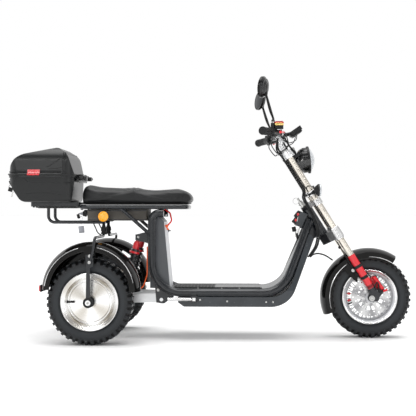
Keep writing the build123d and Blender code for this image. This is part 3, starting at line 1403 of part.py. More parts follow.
with BuildPart() as front_rim:
    add(rim_barrel(FRONT_AXLE_X, 0))
    with Locations((FRONT_AXLE_X, 0, AXLE_Z)):
        Cylinder(HUB_RADIUS, 2 * hub_half, rotation=(90, 0, 0))
        Cylinder(40, 60, rotation=(90, 0, 0))
    for lean in (-1, 1):
        with BuildSketch(Plane(origin=(FRONT_AXLE_X, 0, AXLE_Z), x_dir=(1, 0, 0), z_dir=(0, -1, 0))):
            with PolarLocations(34, SPOKE_PAIRS):
                with Locations(Location((0, 0, 0), (0, 0, lean * 24))):
                    with Locations((42, 0)):
                        Rectangle(92, 4)
        extrude(amount=6, both=True)
    with BuildSketch(wheel_plane(FRONT_AXLE_X, 0)):
        with Locations((BEAD_RADIUS + 20, 0)):
            Rectangle(40, 60)
    revolve(axis=wheel_axis(FRONT_AXLE_X, 0), mode=Mode.SUBTRACT)
    add(rim_barrel(FRONT_AXLE_X, 0))
    with Locations((FRONT_AXLE_X, 0, AXLE_Z)):
        Cylinder(FRONT_AXLE_RADIUS + PIN_FIT, 300, rotation=(90, 0, 0), mode=Mode.SUBTRACT)
front_rim.part.label = "front_rim"
export_step(front_rim.part, "parts/front_rim.step")

disc_face = Plane(
    origin=(FRONT_AXLE_X, DISC_Y + DISC_THICK / 2, AXLE_Z),
    x_dir=(1, 0, 0),
    z_dir=(0, -1, 0),
)
with BuildPart() as brake_disc:
    with Locations((FRONT_AXLE_X, DISC_Y, AXLE_Z)):
        Cylinder(DISC_RADIUS, DISC_THICK, rotation=(90, 0, 0))
        Cylinder(DISC_RADIUS - 30, 40, rotation=(90, 0, 0), mode=Mode.SUBTRACT)
        Cylinder(44, 8, rotation=(90, 0, 0))
    with BuildSketch(disc_face):
        with PolarLocations((DISC_RADIUS + 10) / 2, 6):
            Rectangle(DISC_RADIUS - 54, 15)
    extrude(amount=DISC_THICK)
    with BuildSketch(disc_face):
        with PolarLocations(DISC_RADIUS - 9, 12):
            Circle(4)
        with PolarLocations(DISC_RADIUS - 21, 12, start_angle=15):
            Circle(4)
    extrude(amount=DISC_THICK, mode=Mode.SUBTRACT)
    with Locations((FRONT_AXLE_X, DISC_Y, AXLE_Z)):
        Cylinder(HUB_RADIUS + PIN_FIT, 40, rotation=(90, 0, 0), mode=Mode.SUBTRACT)
brake_disc.part.label = "brake_disc"
export_step(brake_disc.part, "parts/brake_disc.step")

# Rear wheels: tyre, and rim with the hub motor inside its polished covers
for way, wheel_name in ((-1, "right"), (1, "left")):
    wheel_y = way * REAR_WHEEL_Y
    with BuildPart() as rear_tyre:
        add(tyre(REAR_AXLE_X, wheel_y))
    rear_tyre.part.label = "rear_tyre_" + wheel_name
    export_step(rear_tyre.part, "parts/rear_tyre_" + wheel_name + ".step")
    with BuildPart() as rear_hub:
        add(rim_barrel(REAR_AXLE_X, wheel_y))
        with BuildSketch(wheel_plane(REAR_AXLE_X, wheel_y)):
            with BuildLine():
                Polyline(
                    (REAR_AXLE_RADIUS + PIN_FIT, -40),
                    (33, -40),
                    (34, -34),
                    (BEAD_RADIUS - 30, -29),
                    (BEAD_RADIUS - 27, -33),
                    (BEAD_RADIUS - 20, -33),
                    (BEAD_RADIUS - 12, -24),
                    (BEAD_RADIUS - 12, 24),
                    (BEAD_RADIUS - 20, 33),
                    (BEAD_RADIUS - 27, 33),
                    (BEAD_RADIUS - 30, 29),
                    (34, 34),
                    (33, 40),
                    (REAR_AXLE_RADIUS + PIN_FIT, 40),
                    close=True,
                )
            make_face()
        revolve(axis=wheel_axis(REAR_AXLE_X, wheel_y))
    rear_hub.part.label = "rear_hub_" + wheel_name
    export_step(rear_hub.part, "parts/rear_hub_" + wheel_name + ".step")
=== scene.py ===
# %% [markdown]
# # Electric trike
# The CAD model already has every true size and joint. Here it is dressed: each piece gets a material
# worked out from nodes, and the parts that are too fine or too soft for CAD are added on top.
# A position is written in millimetres, as on the drawing, and `mm` turns it into metres.

# %% Load the model
import math

import bmesh
import bpy
from mathutils import Matrix, Vector
from mathutils.bvhtree import BVHTree


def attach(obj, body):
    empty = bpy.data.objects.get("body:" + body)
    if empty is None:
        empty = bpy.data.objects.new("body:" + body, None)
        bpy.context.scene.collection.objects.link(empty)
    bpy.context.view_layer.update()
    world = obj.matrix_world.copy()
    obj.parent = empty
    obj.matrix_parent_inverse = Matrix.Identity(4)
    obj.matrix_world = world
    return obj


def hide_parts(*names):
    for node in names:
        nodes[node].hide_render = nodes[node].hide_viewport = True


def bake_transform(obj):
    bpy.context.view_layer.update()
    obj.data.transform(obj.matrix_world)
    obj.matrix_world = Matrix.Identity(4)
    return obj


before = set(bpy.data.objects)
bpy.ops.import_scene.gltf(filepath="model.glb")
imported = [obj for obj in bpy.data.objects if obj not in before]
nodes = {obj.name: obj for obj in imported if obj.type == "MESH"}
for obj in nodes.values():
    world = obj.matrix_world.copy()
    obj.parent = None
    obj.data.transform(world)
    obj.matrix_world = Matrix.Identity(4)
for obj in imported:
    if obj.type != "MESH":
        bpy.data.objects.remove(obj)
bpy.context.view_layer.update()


# %% [markdown]
# ## Places on the trike
# The fork leans back by its rake. Points on it could be worked out by hand, but it is easier to step ahead
# of, beside and up the steering axis, and let `fork` do the sums. Everything else uses the plain frame: X
# forward, Y to the left, Z up.

# %% Places
RAKE = math.radians(32)
FORK_UP = Vector((-math.sin(RAKE), 0, math.cos(RAKE)))
FORK_AHEAD = Vector((math.cos(RAKE), 0, math.sin(RAKE)))
FRONT_AXLE = Vector((0.817, 0, 0.210))
REAR_AXLE = Vector((-0.575, 0, 0.210))
REAR_WHEEL_Y = 0.292
FORK_FOOT = FRONT_AXLE - FORK_AHEAD * 0.029
LEG_AHEAD = 57.0
LEG_Y = 92.0
BAR_AHEAD = LEG_AHEAD + 21.7
BAR_UP = 858 + 89.7


def mm(x, y, z):
    """Place in metres from millimetres."""
    return Vector((x, y, z)) / 1000


def fork(ahead, side, up):
    """Point on the fork, in millimetres from the foot of the steering axis."""
    return FORK_FOOT + FORK_AHEAD * ahead / 1000 + Vector((0, side / 1000, 0)) + FORK_UP * up / 1000


print("wheelbase", round((FRONT_AXLE - REAR_AXLE).length, 3), "m")


# %% [markdown]
# ## Camera and studio
# The photograph was taken level from the right, a little below the seat, with a long lens. A product studio
# is a white room with large soft lamps. Lamps alone would leave gloss black parts without an edge, so thin
# strips are added, which the guards mirror as bright lines.

# %% Camera and lights
scene = bpy.context.scene
scene.view_settings.view_transform = "Standard"

camera = bpy.data.objects.new("camera", bpy.data.cameras.new("camera"))
camera.data.sensor_width = 36
camera.data.lens = 73.2
camera.location = (0.128, -4.4, 0.65)
camera.rotation_euler = (math.radians(90.2), 0, math.radians(1.83))
scene.collection.objects.link(camera)
scene.camera = camera


def area_light(name, place, aim, size, watts):
    """Soft rectangular light that faces a point."""
    light = bpy.data.objects.new(name, bpy.data.lights.new(name, "AREA"))
    light.data.shape = "RECTANGLE"
    light.data.size, light.data.size_y = size
    light.data.energy = watts
    light.location = place
    light.rotation_euler = (Vector(aim) - Vector(place)).to_track_quat("-Z", "Y").to_euler()
    scene.collection.objects.link(light)


sky = bpy.data.objects.new("sky_light", bpy.data.lights.new("sky_light", "SUN"))
sky.data.energy = 2.1
sky.data.angle = math.radians(50)
scene.collection.objects.link(sky)
area_light("top_light", (0.0, -0.6, 3.4), (0, 0, 0.4), (3.6, 1.6), 10)
area_light("near_light", (-1.6, -3.4, 2.2), (-0.2, 0, 0.5), (1.4, 2.2), 18)
area_light("front_light", (3.0, -1.6, 1.6), (0.4, 0, 0.5), (1.0, 2.2), 8)
area_light("strip_light", (0.0, -2.4, 2.5), (0, 0, 0.4), (6.5, 0.07), 22)
area_light("low_strip", (0.0, -3.4, 1.1), (0, 0, 0.5), (5.0, 0.05), 6)

world = bpy.data.worlds.new("white_room")
world.use_nodes = True
background = world.node_tree.nodes["Background"]
background.inputs["Color"].default_value = (1, 1, 1, 1)
scene.world = world
print("lights", [light.name for light in bpy.data.lights])


# %% [markdown]
# ## Shader maths
# A material is a small graph of nodes. It could be wired by hand in the shader editor, but written as sums
# it can be read and used again. `Field` wraps one output of that graph, so that `a * 2 + b` makes the Math
# nodes for us, and `make` adds any other node by its type, settings and socket values.

# %% Shader maths
class Field:
    """One socket of a shader graph, usable in ordinary arithmetic."""

    def __init__(self, tree, socket=None):
        self.tree = tree
        self.socket = socket

    def make(self, kind, settings=None, values=None, out=0):
        node = self.tree.nodes.new(kind)
        for key, value in (settings or {}).items():
            setattr(node, key, value)
        for key, value in (values or {}).items():
            self.feed(node.inputs[key], value)
        return Field(self.tree, node.outputs[out])

    def feed(self, target, value):
        if isinstance(value, Field):
            self.tree.links.new(value.socket, target)
        else:
            target.default_value = value

    def calc(self, operation, first, second=0.0):
        return self.make("ShaderNodeMath", {"operation": operation}, {0: first, 1: second})

    def vector(self, operation, first, second, out=0):
        return self.make("ShaderNodeVectorMath", {"operation": operation}, {0: first, 1: second}, out)

    def __add__(self, other):
        return self.calc("ADD", self, other)

    def __sub__(self, other):
        return self.calc("SUBTRACT", self, other)

    def __rsub__(self, other):
        return self.calc("SUBTRACT", other, self)

    def __mul__(self, other):
        return self.calc("MULTIPLY", self, other)

    def __pow__(self, other):
        return self.calc("POWER", self, other)

    __radd__ = __add__
    __rmul__ = __mul__

    def step(self, low, high):
        """Smooth climb from 0 to 1 between two values."""
        smooth = {"interpolation_type": "SMOOTHSTEP"}
        return self.make("ShaderNodeMapRange", smooth, {0: self, 1: low, 2: high})

    def mix(self, first, second):
        """Colour that goes from first to second as this field goes from 0 to 1."""
        return self.make("ShaderNodeMix", {"data_type": "RGBA"}, {0: self, 6: first, 7: second}, out=2)

    def along(self, origin, direction):
        """Distance of the surface point from origin, measured along a direction."""
        shifted = self.vector("SUBTRACT", self, tuple(origin))
        return self.vector("DOT_PRODUCT", shifted, tuple(direction), out=1)

    def noise(self, scale, detail=3.0, rough=0.5):
        values = {"Vector": self, "Scale": scale, "Detail": detail, "Roughness": rough}
        return self.make("ShaderNodeTexNoise", None, values)

    def cells(self, scale, feature="F1", **values):
        values = {"Vector": self, "Scale": scale, **values}
        return self.make("ShaderNodeTexVoronoi", {"feature": feature}, values)

    def stretched(self, x, y, z):
        return self.vector("MULTIPLY", self, (x, y, z))

    def round_axle(self, axle):
        """Steps ahead of and above an axle, and the distance from it."""
        ahead = self.along(axle, (1, 0, 0))
        up = self.along(axle, (0, 0, 1))
        return ahead, up, (ahead * ahead + up * up) ** 0.5


# The room is white, but dimmer high up on the camera's side, so that black parts keep their depth.
ROOM_DIM = 0.35
room = Field(world.node_tree).make("ShaderNodeTexCoord", out=0)
behind = room.along((0, 0, 0), (0, 1, 0)).step(-0.3, 0.55)
overhead = room.along((0, 0, 0), (0, 0, 1)).step(0.2, 0.4)
glow = (1 - (1 - behind) * overhead) * (1.0 - ROOM_DIM) + ROOM_DIM
glow.feed(background.inputs["Strength"], glow)


def rgb(red, green, blue):
    """Colour as seen on a screen, 0 to 255, turned into the linear values that shaders use."""
    shares = [v / 255 for v in (red, green, blue)]
    return tuple(((v + 0.055) / 1.055) ** 2.4 if v > 0.04 else v / 12.92 for v in shares) + (1.0,)


def shaded(name, build, **constants):
    """Material with one Principled shader: build gives the varying sockets, constants the uniform ones."""
    material = bpy.data.materials.new(name)
    material.use_nodes = True
    tree = material.node_tree
    shader = tree.nodes["Principled BSDF"]
    place = Field(tree).make("ShaderNodeTexCoord", out=3)
    for key, value in constants.items():
        shader.inputs[key.replace("_", " ")].default_value = value
    for key, value in build(place).items():
        place.feed(shader.inputs[key], value)
    return material


def bumpy(height, strength, distance):
    """Bend the light by a height, without moving the surface."""
    return height.make("ShaderNodeBump", None, {"Height": height, "Strength": strength, "Distance": distance})


# %% [markdown]
# ## Everyday finishes
# Paint, moulded plastic, cast metal and rubber are never quite even. A scanned image could show that, but
# it needs unwrapping and has seams. Here one recipe of noise serves them all: a slow noise shifts the
# colour a little, a middling one breaks up the gloss, and the finest is a grain that bends the light.

# %% Everyday finishes
def finish(name, colour, rough, grain=900.0, bump=0.1, vary=0.12, spread=0.08, **constants):
    """Plain finish with slight colour drift, uneven gloss and a fine grain."""
    constants.setdefault("Specular_IOR_Level", 0.3)

    def build(place):
        drift = place.noise(9.0)
        sheen = place.noise(60.0)
        dark = tuple(c * (1 - vary) for c in colour[:3]) + (1.0,)
        light = tuple(min(1.0, c * (1 + vary)) for c in colour[:3]) + (1.0,)
        return {
            "Base Color": drift.step(0.35, 0.65).mix(dark, light),
            "Roughness": sheen * spread + (rough - spread / 2),
            "Normal": bumpy(place.noise(grain, 2.0), bump, 0.0006),
        }

    return shaded(name, build, **constants)


satin_black = finish("satin_black", rgb(25, 28, 32), 0.2, bump=0.02, spread=0.03, Specular_IOR_Level=0.5)
gloss_black = finish(
    "gloss_black", rgb(9, 8, 7), 0.10, grain=300, bump=0.02, spread=0.05,
    Specular_IOR_Level=0.16, Coat_Weight=0.1, Coat_Roughness=0.04,
)
plastic_black = finish("plastic_black", rgb(20, 21, 22), 0.42, grain=1400, bump=0.25)
gloss_plastic = finish(
    "gloss_plastic", rgb(12, 13, 14), 0.2, grain=1400, bump=0.05,
    Specular_IOR_Level=0.4, Coat_Weight=0.2, Coat_Roughness=0.08,
)
case_plastic = finish(
    "case_plastic", rgb(14, 16, 17), 0.3, grain=1600, bump=0.03, vary=0.06, spread=0.03,
    Specular_IOR_Level=0.36,
)
panel_grey = finish("panel_grey", rgb(48, 52, 56), 0.26, grain=1200, bump=0.06, Specular_IOR_Level=0.45)
box_grey = finish("box_grey", rgb(86, 82, 76), 0.48, grain=1200, bump=0.2)
rubber = finish("rubber", rgb(19, 20, 21), 0.6, grain=700, bump=0.35, vary=0.2)
cable_black = finish("cable_black", rgb(15, 16, 17), 0.45, grain=1200, bump=0.2)
bright_metal = finish("bright_metal", rgb(222, 222, 222), 0.14, grain=300, bump=0.03, Metallic=1.0)
cast_silver = finish("cast_silver", rgb(224, 225, 226), 0.34, bump=0.16, Metallic=0.9)
steel_bolt = finish("steel_bolt", rgb(190, 190, 188), 0.28, grain=600, bump=0.08, Metallic=1.0)
red_paint = finish("red_paint", rgb(206, 24, 36), 0.26, bump=0.06, Coat_Weight=0.4, Coat_Roughness=0.1)
red_lead = finish("red_lead", rgb(205, 30, 28), 0.42, bump=0.1)
orange_plastic = finish("orange_plastic", rgb(238, 96, 40), 0.4, bump=0.1)
gold_metal = finish("gold_metal", rgb(232, 204, 128), 0.25, grain=600, bump=0.05, Metallic=0.9)
# painted highlight: bright metal for thin bars that stand in for the highlights on the gloss black guards
painted_highlight = finish("painted_highlight", rgb(232, 232, 234), 0.14, grain=25, bump=0.5, vary=0.6, spread=0.2, Metallic=1.0)
tag_grey = finish("tag_grey", rgb(176, 178, 186), 0.45, bump=0.1)
fork_chrome = finish("fork_chrome", rgb(212, 206, 196), 0.2, grain=200, bump=0.0, Metallic=1.0)
print("materials so far", len(bpy.data.materials))


# %% [markdown]
# ## Lamps and glass
# A lamp lens is coloured plastic moulded with small prisms that scatter the bulb's light. They could be
# modelled one by one. At this size the cells of a Voronoi pattern, used as a bump, look the same and keep
# the mesh light. A trace of emission stands in for the light that a real lens gathers.

# %% Lamps and glass
def lens(name, colour, pitch, glow):
    """Moulded lamp plastic with a prism grid and a little light of its own."""

    def build(place):
        grid = place.cells(1 / pitch)
        shade = tuple(c * 0.7 for c in colour[:3]) + (1.0,)
        return {
            "Base Color": grid.step(0.1, 0.6).mix(colour, shade),
            "Roughness": place.noise(80) * 0.1 + 0.08,
            "Normal": bumpy(grid, 0.4, 0.002),
            "Emission Color": grid.step(0.0, 0.7).mix(colour, shade),
        }

    return shaded(name, build, Emission_Strength=glow, Coat_Weight=0.8)


amber_lens = lens("amber_lens", rgb(255, 170, 8), 0.006, 0.35)
red_lens = lens("red_lens", rgb(214, 22, 34), 0.005, 0.12)
clear_lens = lens("clear_lens", rgb(196, 200, 204), 0.009, 0.04)
dark_glass = finish("dark_glass", rgb(10, 11, 13), 0.05, grain=100, bump=0.0, Coat_Weight=1.0)
mirror_glass = finish("mirror_glass", rgb(44, 46, 49), 0.05, grain=100, bump=0.0, Metallic=1.0)


# %% [markdown]
# ## Finishes that change along a piece
# Some real pieces are painted in two colours: black bands round the red fork legs, the bright front of the
# battery, and the red and black of the shocks. The solid could be cut and given two materials. A mask that
# follows a distance along the piece leaves it whole and puts the edge where the drawing has it.

# %% Two-colour finishes
def banded(name, base, other, origin, direction, bands, rough=0.28, soft=0.0006, **constants):
    """One colour with bands of another, each band a pair of distances along a direction."""

    def build(place):
        run = place.along(origin, direction)
        mask = None
        for low, high in bands:
            band = run.step(low - soft, low + soft) * (1 - run.step(high - soft, high + soft))
            mask = band if mask is None else mask + band
        tone = place.noise(14)
        return {
            "Base Color": mask.mix(base, other),
            "Roughness": tone * 0.08 + rough,
            "Normal": bumpy(place.noise(900, 2.0), 0.06, 0.0006),
        }

    return shaded(name, build, **constants)


leg_red = banded(
    "leg_red", rgb(208, 24, 38), rgb(22, 22, 24), FORK_FOOT, FORK_UP,
    [(0.100, 0.116), (0.163, 0.179)], Coat_Weight=0.4, Coat_Roughness=0.12,
)
SHOCK_LOW = mm(-429, 0, 264)
SHOCK_UP = (mm(-363, 0, 517) - SHOCK_LOW).normalized()
shock_red = banded(
    "shock_red", rgb(208, 24, 36), rgb(20, 20, 22), SHOCK_LOW, SHOCK_UP,
    [(-0.012, 0.176), (0.187, 0.199)], Coat_Weight=0.3,
)
battery_two = banded(
    "battery_two", rgb(70, 73, 77), rgb(206, 208, 212), mm(-201, 0, 258),
    Vector((0.996, 0, 0.092)).normalized(), [(-0.0008, 0.05)], rough=0.34,
)


# %% [markdown]
# ## Wheels
# The rear covers are spun metal: fine rings round the axle, and soft fans of highlight and shade such as
# these rings throw, which are painted into the colour. Real turning marks are too fine to model, so both are
# worked out from the point's angle and distance round the wheel's own axle. The brake disc is made the same
# way. The rim and the fork crown change tone by distance, and the tyres have rings moulded on their walls and
# painted shade between their lugs.

# %% Wheel metal, crown metal and tyre rubber
def spun_metal(name, axle, fans, dark, light):
    """Polished metal with turning marks round an axle, and painted fans of highlight and shade."""

    def build(place):
        ahead, up, radius = place.round_axle(axle)
        sweep = up.calc("ARCTAN2", up, ahead) * fans + 0.9
        # painted highlight and shade: bright and dark fans by angle round the axle, as brushed metal would
        # mirror the lamps
        painted_fan = sweep.calc("SINE", sweep) * 0.5 + 0.5
        marks = {"W": radius * 500.0, "Detail": 1.0}
        rings = place.make("ShaderNodeTexNoise", {"noise_dimensions": "1D"}, marks)
        return {
            "Base Color": (painted_fan * 0.8 + rings * 0.2).mix(dark, light),
            "Roughness": rings * 0.08 + 0.22,
            "Normal": bumpy(rings, 0.04, 0.0003),
        }

    return shaded(name, build, Metallic=1.0)


def rim_metal(name, axle):
    """Polished rim lips round a paler, duller barrel and spokes."""

    def build(place):
        radius = place.round_axle(axle)[2]
        tone = place.noise(50)
        lip = radius.step(0.126, 0.132)
        return {
            "Base Color": lip.mix(rgb(196, 197, 200), rgb(236, 236, 236)),
            "Metallic": lip * 0.8 + 0.2,
            "Roughness": tone * 0.1 + 0.2,
            "Normal": bumpy(tone, 0.06, 0.0005),
        }

    return shaded(name, build)


def stem_metal(name):
    """Dark cast middle with bright clamps round the fork tubes."""

    def build(place):
        side = place.along((0, 0, 0), (0, 1, 0))
        clamp = ((side * side) ** 0.5).step(0.064, 0.068)
        tone = place.noise(200)
        return {
            "Base Color": clamp.mix(rgb(26, 27, 29), rgb(206, 206, 206)),
            "Metallic": clamp,
            "Roughness": tone * 0.14 + 0.26,
            "Normal": bumpy(tone, 0.1, 0.0005),
        }

    return shaded(name, build, Specular_IOR_Level=0.3)


front_rim_metal = rim_metal("front_rim_metal", FRONT_AXLE)
crown_metal = stem_metal("crown_metal")
rear_metal = spun_metal("rear_metal", REAR_AXLE, 4.0, rgb(190, 185, 176), rgb(246, 246, 246))
disc_metal = spun_metal("disc_metal", FRONT_AXLE, 6.0, rgb(138, 138, 140), rgb(204, 204, 204))


def tyre_rubber(name, axle):
    """Black rubber: rings moulded on a paler sidewall, and painted shade in the gaps between the lugs."""

    def build(place):
        ahead, up, radius = place.round_axle(axle)
        lugs = up.calc("ARCTAN2", up, ahead) * 40.0
        # painted shade: the gaps between the lugs are darkened in the colour, where shade would fall
        gap_painted_shade = lugs.calc("COSINE", lugs).step(-0.2, 0.6) * radius.step(0.180, 0.190)
        wave = (radius * 1300.0).calc("SINE", radius * 1300.0)
        rings = wave * radius.step(0.146, 0.150) * (1 - radius.step(0.168, 0.172))
        wall = radius.step(0.146, 0.156) * (1 - radius.step(0.164, 0.180))
        tone = place.noise(30)
        return {
            "Base Color": ((1 - gap_painted_shade) * 0.6 + wall * 0.4).mix(rgb(5, 5, 6), rgb(38, 41, 44)),
            "Roughness": tone * 0.1 + gap_painted_shade * 0.3 + 0.32,
            "Normal": bumpy(rings + place.noise(600, 2.0) * 0.4, 0.3, 0.0014),
        }

    return shaded(name, build, Specular_IOR_Level=0.3)


front_rubber = tyre_rubber("front_rubber", FRONT_AXLE)
rear_rubber = tyre_rubber("rear_rubber", REAR_AXLE)


# %% [markdown]
# ## Seat leather and floor rubber
# The seat is covered in black vinyl with a pebbled grain, and the floor mat has small studs on its rear
# half. Both repeat too finely for geometry, so cells of a Voronoi pattern give the pebble and the studs as
# a bump.

# %% Leather and mat
def leather(name):
    """Black vinyl with a fine pebble and soft creases."""

    def build(place):
        pebble = place.cells(420.0, "DISTANCE_TO_EDGE")
        crease = place.stretched(1.0, 2.4, 2.4).noise(22, 4.0, 0.6)
        tone = place.noise(7)
        return {
            "Base Color": tone.step(0.3, 0.7).mix(rgb(13, 14, 15), rgb(20, 21, 22)),
            "Roughness": crease * 0.18 + 0.28,
            "Normal": bumpy(pebble.step(0.0, 0.2) * 0.5 + crease * 0.5, 0.25, 0.0009),
        }

    return shaded(name, build, Specular_IOR_Level=0.3)


def studded(name):
    """Mat rubber: rows of studs on the rear half, smooth and glossier in front, where a painted sheen
    lightens the colour.
    """

    def build(place):
        cells = place.stretched(1, 1, 0.01).cells(55.0, Randomness=0.0)
        # the smooth front is lighter in colour: a painted sheen, besides its real lower roughness
        smooth = place.along((0, 0, 0), (1, 0, 0)).step(0.02, 0.03)
        stud = (1 - cells.step(0.25, 0.45)) * (1 - smooth)
        tone = place.noise(40)
        return {
            "Base Color": (stud * 0.6 + tone * 0.2 + smooth * 0.9).mix(rgb(18, 18, 19), rgb(56, 57, 58)),
            "Roughness": tone * 0.2 + 0.5 - smooth * 0.3,
            "Normal": bumpy(stud, 0.8, 0.003),
        }

    return shaded(name, build)


seat_leather = leather("seat_leather")
mat_rubber = studded("mat_rubber")
print("materials so far", len(bpy.data.materials))


# %% [markdown]
# ## Dressing the CAD pieces
# A piece whose shape is right keeps its CAD solid and only gets a material. It could be modelled again with
# more edges, but then it might drift from the true size.

# %% Materials on the CAD pieces
DRESS = {
    satin_black: "frame_tubes head_tube seat_frame rear_rack guard_stays handlebar fork_dropouts",
    panel_grey: "floor_deck under_tray front_cover ignition_box",
    plastic_black: "brake_controls display front_indicators side_lamps",
    gloss_plastic: "mirrors headlight",
    case_plastic: "case_tub case_lid",
    gloss_black: "rear_guards front_guard",
    box_grey: "controller_box",
    battery_two: "battery_case",
    red_lead: "battery_lead",
    orange_plastic: "rear_brake_hose",
    cast_silver: "swingarm top_crown",
    crown_metal: "steering_stem",
    front_rim_metal: "front_rim",
    bright_metal: "rear_axle front_axle foot_peg_right foot_peg_left",
    fork_chrome: "fork_tubes",
    leg_red: "fork_lowers",
    red_paint: "brake_caliper",
    shock_red: "rear_shocks",
    red_lens: "tail_reflectors",
    clear_lens: "headlight_lens",
    rubber: "grips",
    mat_rubber: "floor_mat",
    cable_black: "steering_cables",
    seat_leather: "seat",
    front_rubber: "front_tyre",
    rear_rubber: "rear_tyre_right rear_tyre_left",
    rear_metal: "rear_hub_right rear_hub_left",
    disc_metal: "brake_disc",
}
for material, names in DRESS.items():
    for name in names.split():
        nodes[name].data.materials.clear()
        nodes[name].data.materials.append(material)
undressed = set(nodes) - set(" ".join(DRESS.values()).split())
print("dressed", len(nodes) - len(undressed), "nodes; without material:", sorted(undressed))


# %% [markdown]
# ## A kit for small forms
# Bolts, cables, caps and keys are built from rings of points. Curves and the Screw modifier could make them
# too, but rings give a closed mesh at once. A `Kit` gathers several forms in one mesh, so that a whole
# group is one object that rides on one body. Places are in metres, sizes in mm.

# %% Kit
def circle(steps):
    """Even angles once round."""
    return [2 * math.pi * i / steps for i in range(steps)]


class Kit:
    """Several small forms in one mesh."""

    def __init__(self):
        self.mesh = bmesh.new()

    def skin(self, rings, closed=False):
        """Join rings of points with faces, and close the two ends."""
        rows = [[self.mesh.verts.new(point) for point in ring] for ring in rings]
        count = len(rows[0])
        for low, high in zip(rows, rows[1:] + rows[:1] if closed else rows[1:]):
            for i in range(count):
                j = (i + 1) % count
                self.mesh.faces.new((low[i], low[j], high[j], high[i]))
        if not closed:
            self.mesh.faces.new(rows[0][::-1])
            self.mesh.faces.new(rows[-1])

    def lathe(self, place, axis, profile, sides=24):
        """Turned form: profile is a list of steps along the axis and radii."""
        axis = Vector(axis).normalized()
        first = axis.orthogonal().normalized()
        second = axis.cross(first)
        rims = [first * math.cos(t) + second * math.sin(t) for t in circle(sides)]
        rings = []
        for along, radius in profile:
            middle = place + axis * along / 1000
            rings.append([middle + rim * max(radius, 0.02) / 1000 for rim in rims])
        self.skin(rings)

    def sweep(self, points, radius, sides=10, closed=False, smooth=0, rib=0.0):
        """Round bar along points. smooth adds steps between them, rib makes every second ring thicker."""
        points = [Vector(p) for p in points]
        if smooth:
            points = curved(points, smooth)
        rings = []
        across = None
        for i, point in enumerate(points):
            before = points[i - 1] if closed or i else point
            after = points[(i + 1) % len(points)] if closed or i + 1 < len(points) else point
            along = (after - before).normalized()
            across = along.orthogonal() if across is None else across - along * across.dot(along)
            across.normalize()
            up = along.cross(across)
            size = radius * (1 + rib * (i % 2)) / 1000
            rings.append([point + (across * math.cos(t) + up * math.sin(t)) * size for t in circle(sides)])
        self.skin(rings, closed)

    def wire_ring(self, place, size, wire, steps):
        """Thin ring in the side view: half length and half height in mm."""
        points = [place + mm(size[0] * math.sin(t), 0, size[1] * math.cos(t)) for t in circle(steps)]
        self.sweep(points, wire, 6, closed=True)

    def block(self, place, size, ahead=(1, 0, 0), up=(0, 0, 1), bevel=1.5):
        """Box with softened edges."""
        x = Vector(ahead).normalized()
        y = Vector(up).cross(x).normalized()
        turn = Matrix((x, y, x.cross(y))).transposed().to_4x4()
        stretch = Matrix.Diagonal((*[s / 1000 for s in size], 1))
        made = bmesh.ops.create_cube(self.mesh, size=1.0, matrix=Matrix.Translation(place) @ turn @ stretch)
        edges = list(dict.fromkeys(edge for vert in made["verts"] for edge in vert.link_edges))
        bmesh.ops.bevel(self.mesh, geom=edges, offset=bevel / 1000, segments=2, affect="EDGES", profile=0.6)

    def fork_block(self, place, size, bevel):
        """Box that leans with the fork."""
        self.block(place, size, ahead=FORK_AHEAD, up=FORK_UP, bevel=bevel)

    def bolt(self, place, axis, radius, height=5.0):
        """Washer, six-sided head and a small dished end."""
        self.lathe(place, axis, [(-1, radius * 1.45), (1.2, radius * 1.45), (1.6, radius * 1.3)], 20)
        head = [(1, radius), (height - 1, radius), (height, radius * 0.85), (height - 0.8, radius * 0.4)]
        self.lathe(place, axis, head, 6)

    def done(self, name, body, material, sharp=35):
        """Make the object and fasten it to a body."""
        bmesh.ops.recalc_face_normals(self.mesh, faces=self.mesh.faces[:])
        mesh = bpy.data.meshes.new(name)
        self.mesh.to_mesh(mesh)
        self.mesh.free()
        mesh.polygons.foreach_set("use_smooth", [True] * len(mesh.polygons))
        mesh.set_sharp_from_angle(angle=math.radians(sharp))
        mesh.materials.append(material)
        thing = bpy.data.objects.new(name, mesh)
        scene.collection.objects.link(thing)
        if body:
            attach(thing, body)
        print("made", name, len(mesh.polygons), "faces")
        return thing


def curved(points, steps):
    """More points on a smooth curve through the given ones."""
    ends = [points[0] * 2 - points[1]] + points + [points[-1] * 2 - points[-2]]
    out = []
    for a, b, c, d in zip(ends, ends[1:], ends[2:], ends[3:]):
        for i in range(steps):
            t = i / steps
            square = (2 * a - 5 * b + 4 * c - d) * t**2
            cube = (3 * b - a - 3 * c + d) * t**3
            out.append(0.5 * (2 * b + (c - a) * t + square + cube))
    return out + [points[-1]]


# %% [markdown]
# ## Seat
# The real seat is foam under stretched vinyl, and the CAD seat is a plain block. It could be sculpted, but
# a cloth skin with air inside finds that full, slightly taut shape by itself. Rounded sections of the same
# size become an even skin, which is then blown up. The base and a line across the seat are pinned, like
# seams.

# %% Seat cushion
SEAM_X = -0.386
# heights in metres: the base is pinned up to the first, the seam from the second
BASE_TOP = 0.694
SEAM_LOW = 0.73
# side view of the seat in mm: length, top height and half width
SEAT_SIDE = [
    (-652, 722, 76), (-650, 752, 96), (-645, 770, 112), (-634, 781, 124), (-610, 778, 136),
    (-575, 771, 142), (-540, 767, 142), (-447, 763, 141), (-405, 766, 141), (-386, 768, 140),
    (-366, 764, 141), (-340, 757, 141), (-284, 752, 141), (-220, 755, 141), (-160, 759, 139),
    (-132, 755, 133), (-112, 746, 122), (-98, 732, 106), (-91, 716, 84), (-90, 708, 70),
]


